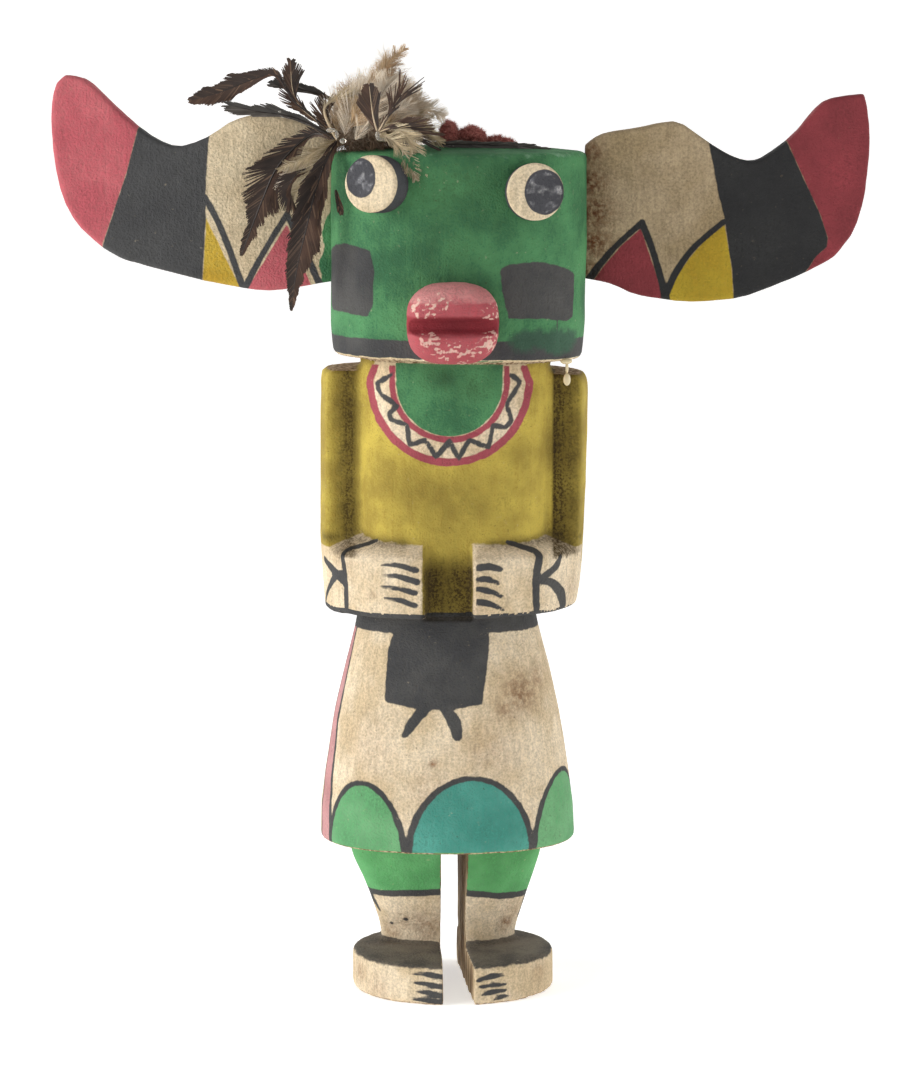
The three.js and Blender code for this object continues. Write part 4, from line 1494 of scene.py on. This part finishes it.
def down_tree() -> bpy.types.NodeTree:
    """Loose down: small plumes of fine fibres that stand out from a matted core.

    Returns:
        The tree. Its geometry is the core's surface.
    """
    tree, given = new_tree(
        "down_plumes",
        (
            ("Density", "NodeSocketFloat"),
            ("Fibres", "NodeSocketInt"),
            ("Fibre Width", "NodeSocketFloat"),
            ("Length", "NodeSocketFloat"),
            ("Spread", "NodeSocketFloat"),
            ("Flow", "NodeSocketVector"),
            ("Seed", "NodeSocketInt"),
            ("Down", "NodeSocketMaterial"),
        ),
    )

    def vector(how: str, *feeds: Any, scale: Any = None) -> bpy.types.NodeSocket:
        numbered = dict(enumerate(feeds))
        if scale is not None:
            numbered["Scale"] = scale
        return add(tree, "ShaderNodeVectorMath", numbered, operation=how).outputs[0]

    def chance(low: Triple, high: Triple, seed: int) -> bpy.types.NodeSocket:
        node = add(tree, "FunctionNodeRandomValue", {0: low, 1: high, "Seed": seed}, data_type="FLOAT_VECTOR")
        return node.outputs[0]

    def turned(heading: bpy.types.NodeSocket, seed: int) -> bpy.types.NodeSocket:
        feeds = {"Primary Axis": heading, "Secondary Axis": chance((-1, -1, -1), (1, 1, 1), seed)}
        node = add(tree, "FunctionNodeAxesToRotation", feeds, primary_axis="X", secondary_axis="Z")
        return node.outputs[0]

    fibre = unit_ribbon(tree, given.outputs["Fibre Width"], 0.8, 0.22, 0.12)
    stem = add(tree, "GeometryNodeMeshLine", {"Count": given.outputs["Fibres"],
        "Offset": (0, 0, 0)}).outputs[0]
    cone = vector("SCALE", chance((-1, -1, -1), (1, 1, 1), 4), scale=given.outputs["Spread"])
    turn = turned(vector("ADD", cone, (1, 0, 0)), 8)
    fibre_scale = chance((0.45, 1, 1), (1.0, 1, 1), 6)
    plume = add(
        tree,
        "GeometryNodeInstanceOnPoints",
        {"Points": stem, "Instance": fibre, "Rotation": turn, "Scale": fibre_scale},
    ).outputs[0]
    plume = add(tree, "GeometryNodeRealizeInstances", {"Geometry": plume}).outputs[0]
    spots = add(
        tree,
        "GeometryNodeDistributePointsOnFaces",
        {"Mesh": given.outputs["Geometry"], "Density": given.outputs["Density"],
            "Seed": given.outputs["Seed"]},
    )
    loose = vector("SCALE", chance((-1, -1, -1), (1, 1, 1), 12), scale=0.6)
    lie = vector("ADD", vector("ADD", spots.outputs["Normal"], given.outputs["Flow"]), loose)
    size = add(tree, "FunctionNodeRandomValue", {2: 0.5, 3: 1.0, "Seed": 14}, data_type="FLOAT").outputs[1]
    size = add(tree, "ShaderNodeMath", {0: size, 1: given.outputs["Length"]}, operation="MULTIPLY").outputs[0]
    plume_scale = add(tree, "ShaderNodeCombineXYZ", {0: size, 1: size, 2: size}).outputs[0]
    plumes = add(
        tree,
        "GeometryNodeInstanceOnPoints",
        {"Points": spots.outputs["Points"], "Instance": plume, "Rotation": turned(lie, 13),
            "Scale": plume_scale},
    ).outputs[0]
    joined = add(tree, "GeometryNodeJoinGeometry")
    for part in (toned(tree, plumes, 15), given.outputs["Geometry"]):
        tree.links.new(part, joined.inputs[0])
    real = add(tree, "GeometryNodeRealizeInstances", {"Geometry": joined.outputs[0]}).outputs[0]
    done = add(tree, "GeometryNodeSetMaterial", {"Geometry": real,
        "Material": given.outputs["Down"]}).outputs[0]
    add(tree, "NodeGroupOutput", {"Geometry": done})
    return tree


@dataclass(frozen=True)
class DownFinish:
    """Fluffy fibres: matte, darker at the roots and low in the bunch.

    Attributes:
        name: The material's name.
        root: Colour at the roots.
        pale: Colour of pale tips.
        tawny: Colour of dark tips.
        heights: Heights between which it turns from the roots' colour to the tips', m.
    """

    name: str
    root: str
    pale: str
    tawny: str
    heights: Pair = (0.0, 0.001)

    def build(self) -> bpy.types.Material:
        """Builds the material."""
        material = bpy.data.materials.new(self.name)
        material.use_nodes = True
        tree = material.node_tree
        tree.nodes.clear()
        tone = add(tree, "ShaderNodeAttribute", attribute_name="tone").outputs["Fac"]
        tip = add(tree, "ShaderNodeAttribute", attribute_name="tip").outputs["Fac"]
        place = add(tree, "ShaderNodeTexCoord").outputs["Object"]
        height = add(tree, "ShaderNodeSeparateXYZ", {0: place}).outputs[2]
        fluff = lay(tree, ramp(tree, tone, (0.25, 0.85), (0, 1)), linear(self.pale), linear(self.tawny))
        colour = lay(tree, ramp(tree, tip, (0.0, 0.4), (0.25, 1)), linear(self.root), fluff)
        colour = lay(tree, ramp(tree, height, self.heights, (0.15, 1)), linear(self.root), colour)
        shader = add(
            tree,
            "ShaderNodeBsdfPrincipled",
            {"Base Color": colour, "Roughness": 0.9, "Specular IOR Level": 0.2},
        )
        add(tree, "ShaderNodeOutputMaterial", {"Surface": shader.outputs[0]})
        return material


@dataclass
class CrownBunch:
    """The bunch on the crown: down, feathers, their quills, dyed scraps and clear glue."""

    origin: np.ndarray

    def build(self) -> None:
        """Builds every part of the bunch."""
        fluff = down_tree()
        self._down(fluff)
        self._scraps(fluff)
        vane = vane_tree()
        finishes = {kind: kind.value.build() for kind in Plumage}
        quills = {
            pale: FeatherFinish(name, *colours, 0.35).build()
            for pale, name, colours in (
                (False, "dark_feather_quill", ("#2A211C", "#2A211C", "#4A3A2E")),
                (True, "pale_feather_quill", ("#B9A284", "#CDB999", "#D9C9AC")),
            )
        }
        for feather in FEATHERS:
            if feather.node:
                self._plumage(feather.node + "_vane", [feather], vane, finishes, quills)
        loose = [feather for feather in FEATHERS if not feather.node]
        for number, feather in enumerate(loose):
            if not feather.downy:
                self._plumage(f"small_feather_{number}", [feather], vane, finishes, quills)
        for kind in Plumage:
            group = [feather for feather in loose if feather.downy and feather.kind is kind]
            for quill in sorted({feather.quill for feather in group}):
                alike = [feather for feather in group if feather.quill == quill]
                self._plumage(f"{kind.name.lower()}_plumes_{len(alike)}", alike, vane, finishes, quills)
        self._glue()

    def _down(self, fluff: bpy.types.NodeTree) -> None:
        """The matted core with short down standing out from it."""
        surface = Surface("down_bunch", "down_tuft", self.origin, 1.0, 6)
        surface.push(1.1 * lattice_noise(surface.points, 5, 41) + 0.5 * lattice_noise(surface.points, 2.2,
            42) - 2.4)
        finish = DownFinish("matted_down", "#66503F", "#DCCDB8", "#B79C7C", (0.231, 0.242))
        grow(surface.piece, fluff, {
            "Density": 0.34 / MM**2,
            "Fibres": 30,
            "Fibre Width": 0.016,
            "Length": 8 * MM,
            "Spread": 0.6,
            "Flow": (0.25, -0.1, 0.2),
            "Seed": 7,
            "Down": finish.build(),
        })
        settle(surface.piece, "down", "down_tuft")

    def _scraps(self, fluff: bpy.types.NodeTree) -> None:
        """The dyed red scraps, each with a short nap."""
        finish = DownFinish("red_dyed_down", "#84483F", "#C98A80", "#A8605A").build()
        for node in ("red_knot", "red_strip_broad", "red_strip_tapered"):
            surface = Surface(node + "_nap", node, self.origin, 0.3, 3)
            surface.push(0.35 * lattice_noise(surface.points, 1.3, 51) + 0.2 * lattice_noise(surface.points,
                0.6, 52))
            grow(surface.piece, fluff, {
                "Density": 4 / MM**2,
                "Fibres": 8,
                "Fibre Width": 0.07,
                "Length": 1.7 * MM,
                "Spread": 0.9,
                "Flow": (0.3, 0, 0),
                "Seed": 9,
                "Down": finish,
            })
            settle(surface.piece, "dyed_trim", node)

    def _plumage(
        self,
        name: str,
        feathers: Sequence[Feather],
        tree: bpy.types.NodeTree,
        finishes: dict[Plumage, bpy.types.Material],
        quills: dict[bool, bpy.types.Material],
    ) -> None:
        """Builds one piece from feathers that are alike.

        Args:
            name: The piece's name.
            feathers: The feathers.
            tree: The vane's geometry node tree.
            finishes: The material for each kind.
            quills: The materials of dark and pale quills.
        """
        places, pairs, reach = [], [], []
        for feather in feathers:
            line = curve_through(feather.path, steps=8)
            steps = np.linspace(0, 1, len(line))
            pairs += [(len(places) + k, len(places) + k + 1) for k in range(len(line) - 1)]
            places += ((line + self.origin) * MM).tolist()
            reach += (np.interp(steps, np.linspace(0, 1, len(feather.widths)),
                feather.widths) / 2 * MM).tolist()
        mesh = bpy.data.meshes.new(name)
        mesh.from_pydata(places, pairs, [])
        mesh.attributes.new("reach", "FLOAT", "POINT").data.foreach_set("value", np.array(reach, np.float32))
        piece = bpy.data.objects.new(name, mesh)
        bpy.context.scene.collection.objects.link(piece)
        first = feathers[0]
        grow(piece, tree, {
            "Spacing": first.spacing * MM,
            "Barb Width": (0.1 if first.downy else 0.42) * MM,
            "Lean": math.radians(first.lean),
            "Raggedness": first.ragged,
            "Fray": 1.5 if first.downy else 0.5,
            "Lift": 2.2 if first.downy else 0.25,
            "Clump Size": (2.2 if first.downy else 3.0) * MM,
            "Quill Radius": first.quill * MM,
            "Facing": (0.0, -1.0, 0.05),
            "Vane": finishes[first.kind],
            "Quill": quills[first.pale_quill],
        })
        settle(piece, "feather", *([first.node] if first.node else []))

    def _glue(self) -> None:
        """Beads of clear glue at the quills' feet and a drip under the jaw's right end."""
        clear = bpy.data.materials.new("clear_hardened_glue")
        clear.use_nodes = True
        shader = clear.node_tree.nodes["Principled BSDF"]
        shader.inputs["Base Color"].default_value = linear("#E9E4DA")
        shader.inputs["Roughness"].default_value = 0.08
        shader.inputs["Transmission Weight"].default_value = 0.85
        amber = bpy.data.materials.new("yellowed_glue_drip")
        amber.use_nodes = True
        shader = amber.node_tree.nodes["Principled BSDF"]
        shader.inputs["Base Color"].default_value = linear("#D9C9A2")
        shader.inputs["Roughness"].default_value = 0.15
        shader.inputs["Subsurface Weight"].default_value = 0.3
        shader.inputs["Subsurface Radius"].default_value = (0.002, 0.0015, 0.001)
        beads = [
            ((-34.0, -18.6, 236.2), (1.3, 0.5, 0.6)), ((-32.4, -18.9, 235.0), (0.5, 0.5, 1.1)),
            ((-30.8, -19.2, 233.4), (0.9, 0.5, 0.7)), ((-21.6, -22.6, 234.9), (0.6, 0.5, 1.3)),
            ((-20.6, -22.6, 233.8), (1.2, 0.5, 0.5)), ((-47.6, -15.4, 241.0), (0.4, 0.3, 0.3)),
        ]
        self._blobs("glue_beads", beads, clear)
        drip = [
            ((28.3, -16.6, 175.0), (1.6, 1.0, 0.8)), ((28.5, -16.9, 173.3), (0.45, 0.45, 1.6)),
            ((28.5, -17.2, 170.2), (1.0, 0.8, 1.7)),
        ]
        self._blobs("glue_drip", drip, amber)

    def _blobs(
        self, name: str, blobs: Sequence[tuple[Triple, Triple]], material: bpy.types.Material
    ) -> None:
        """One piece of rounded blobs, each given by its centre and radii in mm."""
        shape = bmesh.new()
        for centre, radii in blobs:
            made = bmesh.ops.create_icosphere(shape, subdivisions=3, radius=1.0)["verts"]
            for vert in made:
                vert.co = [(c * r + m + o) * MM for c, r, m, o in zip(vert.co, radii, centre, self.origin)]
        mesh = bpy.data.meshes.new(name)
        shape.to_mesh(mesh)
        shape.free()
        mesh.polygons.foreach_set("use_smooth", [True] * len(mesh.polygons))
        mesh.materials.append(material)
        piece = bpy.data.objects.new(name, mesh)
        bpy.context.scene.collection.objects.link(piece)
        settle(piece, "down")


# ------------------------------------------------------------------ studio


@dataclass
class Studio:
    """A pale floor that sweeps up behind, soft lights and the camera."""

    origin: np.ndarray
    distance: float = 900.0
    height: float = 256.0
    pitch: float = 8.3
    lens: float = 111.0
    sweep: float = 1.4

    def build(self) -> None:
        """Builds the floor, lights and camera."""
        self._floor()
        self._camera()
        self._light("key", (-1.15, -0.4, 0.45), 0.9, 15)
        self._light("fill", (1.15, -0.35, 0.4), 0.9, 7)
        self._light("top", (0.0, -0.5, 1.5), 1.2, 2.5)
        world = bpy.data.worlds.new("studio")
        world.use_nodes = True
        world.node_tree.nodes["Background"].inputs["Color"].default_value = (1, 1, 1, 1)
        world.node_tree.nodes["Background"].inputs["Strength"].default_value = 0.2
        bpy.context.scene.world = world
        bpy.context.scene.view_settings.view_transform = "Standard"

    def _floor(self) -> None:
        """A sheet of pale paper, flat and then curved up behind the doll."""
        turn = np.linspace(0, math.pi / 2, 16)
        profile = [(-3.0, 0.0), *[(self.sweep + math.sin(a) * 0.6, 0.6 - math.cos(a) * 0.6) for a in turn]]
        profile.append((profile[-1][0], 3.0))
        shape = bmesh.new()
        rows = [[shape.verts.new((x, y, z)) for x in (-3.5, 3.5)] for y, z in profile]
        for low, high in zip(rows, rows[1:]):
            shape.faces.new((low[0], low[1], high[1], high[0]))
        mesh = bpy.data.meshes.new("floor")
        shape.to_mesh(mesh)
        shape.free()
        mesh.polygons.foreach_set("use_smooth", [True] * len(mesh.polygons))
        floor = bpy.data.objects.new("floor", mesh)
        bpy.context.scene.collection.objects.link(floor)
        material = bpy.data.materials.new("white_background_paper")
        material.use_nodes = True
        shader = material.node_tree.nodes["Principled BSDF"]
        shader.inputs["Base Color"].default_value = linear("#F7F6F4")
        shader.inputs["Roughness"].default_value = 0.9
        shader.inputs["Emission Color"].default_value = (1, 1, 1, 1)
        shader.inputs["Emission Strength"].default_value = 0.5
        mesh.materials.append(material)

    def _light(self, name: str, place: Triple, size: float, power: float) -> None:
        """One soft panel aimed at the doll's chest."""
        data = bpy.data.lights.new(name, "AREA")
        data.size = size
        data.energy = power
        lamp = bpy.data.objects.new(name, data)
        lamp.location = place
        lamp.rotation_euler = (Vector((0, 0, 0.13)) - Vector(place)).to_track_quat("-Z", "Y").to_euler()
        bpy.context.scene.collection.objects.link(lamp)

    def _camera(self) -> None:
        """The camera in front of the doll, a little above it and looking down."""
        data = bpy.data.cameras.new("camera")
        data.sensor_fit = "VERTICAL"
        data.sensor_height = 36
        data.lens = self.lens
        camera = bpy.data.objects.new("camera", data)
        camera.location = [c * MM for c in (self.origin[0], self.origin[1] - self.distance, self.height)]
        camera.rotation_euler = (math.radians(90 - self.pitch), 0, 0)
        bpy.context.scene.collection.objects.link(camera)
        bpy.context.scene.camera = camera


def doll_origin() -> np.ndarray:
    """Finds the doll's own origin in the frame, mm.

    Returns:
        The ground point below the doll's upright axis, which stands 34.7 mm inside the outer
        face of the doll's left arm and midway between its front and back.
    """
    low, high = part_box("carved_figure")
    return np.array([high.x / MM - 34.7, (low.y + high.y) / 2 / MM, low.z / MM])


def main() -> None:
    """Builds the doll and its studio."""
    logging.basicConfig(level=logging.INFO, format="%(message)s")
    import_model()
    origin = doll_origin()
    Studio(origin).build()
    CarvedFigure(origin).build()
    Horn(
        origin,
        "horn_left",
        HORN_LEFT_PAINT_LIT,
        tip_edge=[(-84.2, 243), (-86.2, 236.4), (-89.5, 224.2), (-96, 205.7), (-98, 198)],
        band_edge=[(-67, 240), (-67.2, 234), (-67.8, 226.6), (-68.4, 217.5), (-68.3, 212), (-69.8, 190)],
        red_tooth=[(-46.5, 210.8), (-57.4, 193.4), (-57.4, 190), (-39, 190), (-40.4, 195)],
        yellow_tooth=[(-68.2, 212.4), (-69.7, 190), (-58.5, 190), (-59.6, 194.4)],
        lines=[
            ([(-68.6, 218), (-66.6, 214.6), (-63.4, 207.6), (-58.2, 193)], (0.9, 0.85, 0.9)),
            ([(-58.6, 192.5), (-52.6, 203.6), (-46.5, 213.4)], (0.9, 0.8, 0.8)),
            ([(-46.5, 213.4), (-40.9, 201.7), (-37.6, 194)], (0.8, 0.9, 1.0)),
        ],
        root=-35.1,
        outward=-1,
        strip=[(-32, 216), (-35.4, 213.4), (-37.1, 208.7), (-36.5, 204.4), (-37.8, 200.4), (-37.3, 196),
            (-37, 190),
               (-32, 190)],
    ).build()
    Horn(
        origin,
        "horn_right",
        HORN_RIGHT_PAINT_SHADED,
        tip_edge=[(85, 240), (87.8, 232.4), (92.5, 222.3), (96.7, 213.5), (98.9, 207.1), (98.6, 204.6),
            (95.8, 202.2),
                  (92, 196)],
        band_edge=[(65, 240), (66.7, 232.4), (69.2, 219.1), (71.2, 211.9), (73.2, 198.5), (74, 188)],
        red_tooth=[(48.6, 209.6), (43, 204.6), (38.4, 199.2), (35, 194), (35, 188), (55.6, 188),
            (54.6, 192.4)],
        yellow_tooth=[(71, 210.6), (66, 206.6), (61.6, 201.6), (56.6, 194), (55.6, 188), (74, 188),
            (73.2, 199)],
        lines=[
            ([(33, 193.2), (37.2, 199.4), (42.6, 205.6), (48.9, 211.2)], (1.2, 1, 0.8, 0.8)),
            ([(48.9, 211.2), (52.4, 202), (55.6, 190.5)], (0.9, 0.9, 1.1)),
            ([(55.2, 191.5), (58.6, 198.6), (63.4, 205), (70.8, 211.4)], (1.1, 0.95, 0.8, 0.8)),
        ],
        root=34.5,
        outward=1,
        glue=[(35, 0, 230, 4, 0.9), (35, 0, 222, 5, 1), (36, 0, 214, 5.5, 1), (36, 0, 206, 5, 1),
            (35, 0, 198, 4, 0.9)],
    ).build()
    Eye(origin, "eye_left", (-23.7, -31, 222.6), -25, (-2.6, 1.5), (4.3, 5.2)).build()
    Eye(origin, "eye_right", (19.7, -32, 220.6), 5, (2.3, -0.1), (5.2, 5.9)).build()
    Snout(origin).build()
    CrownBunch(origin).build()


if __name__ == "__main__":
    main()
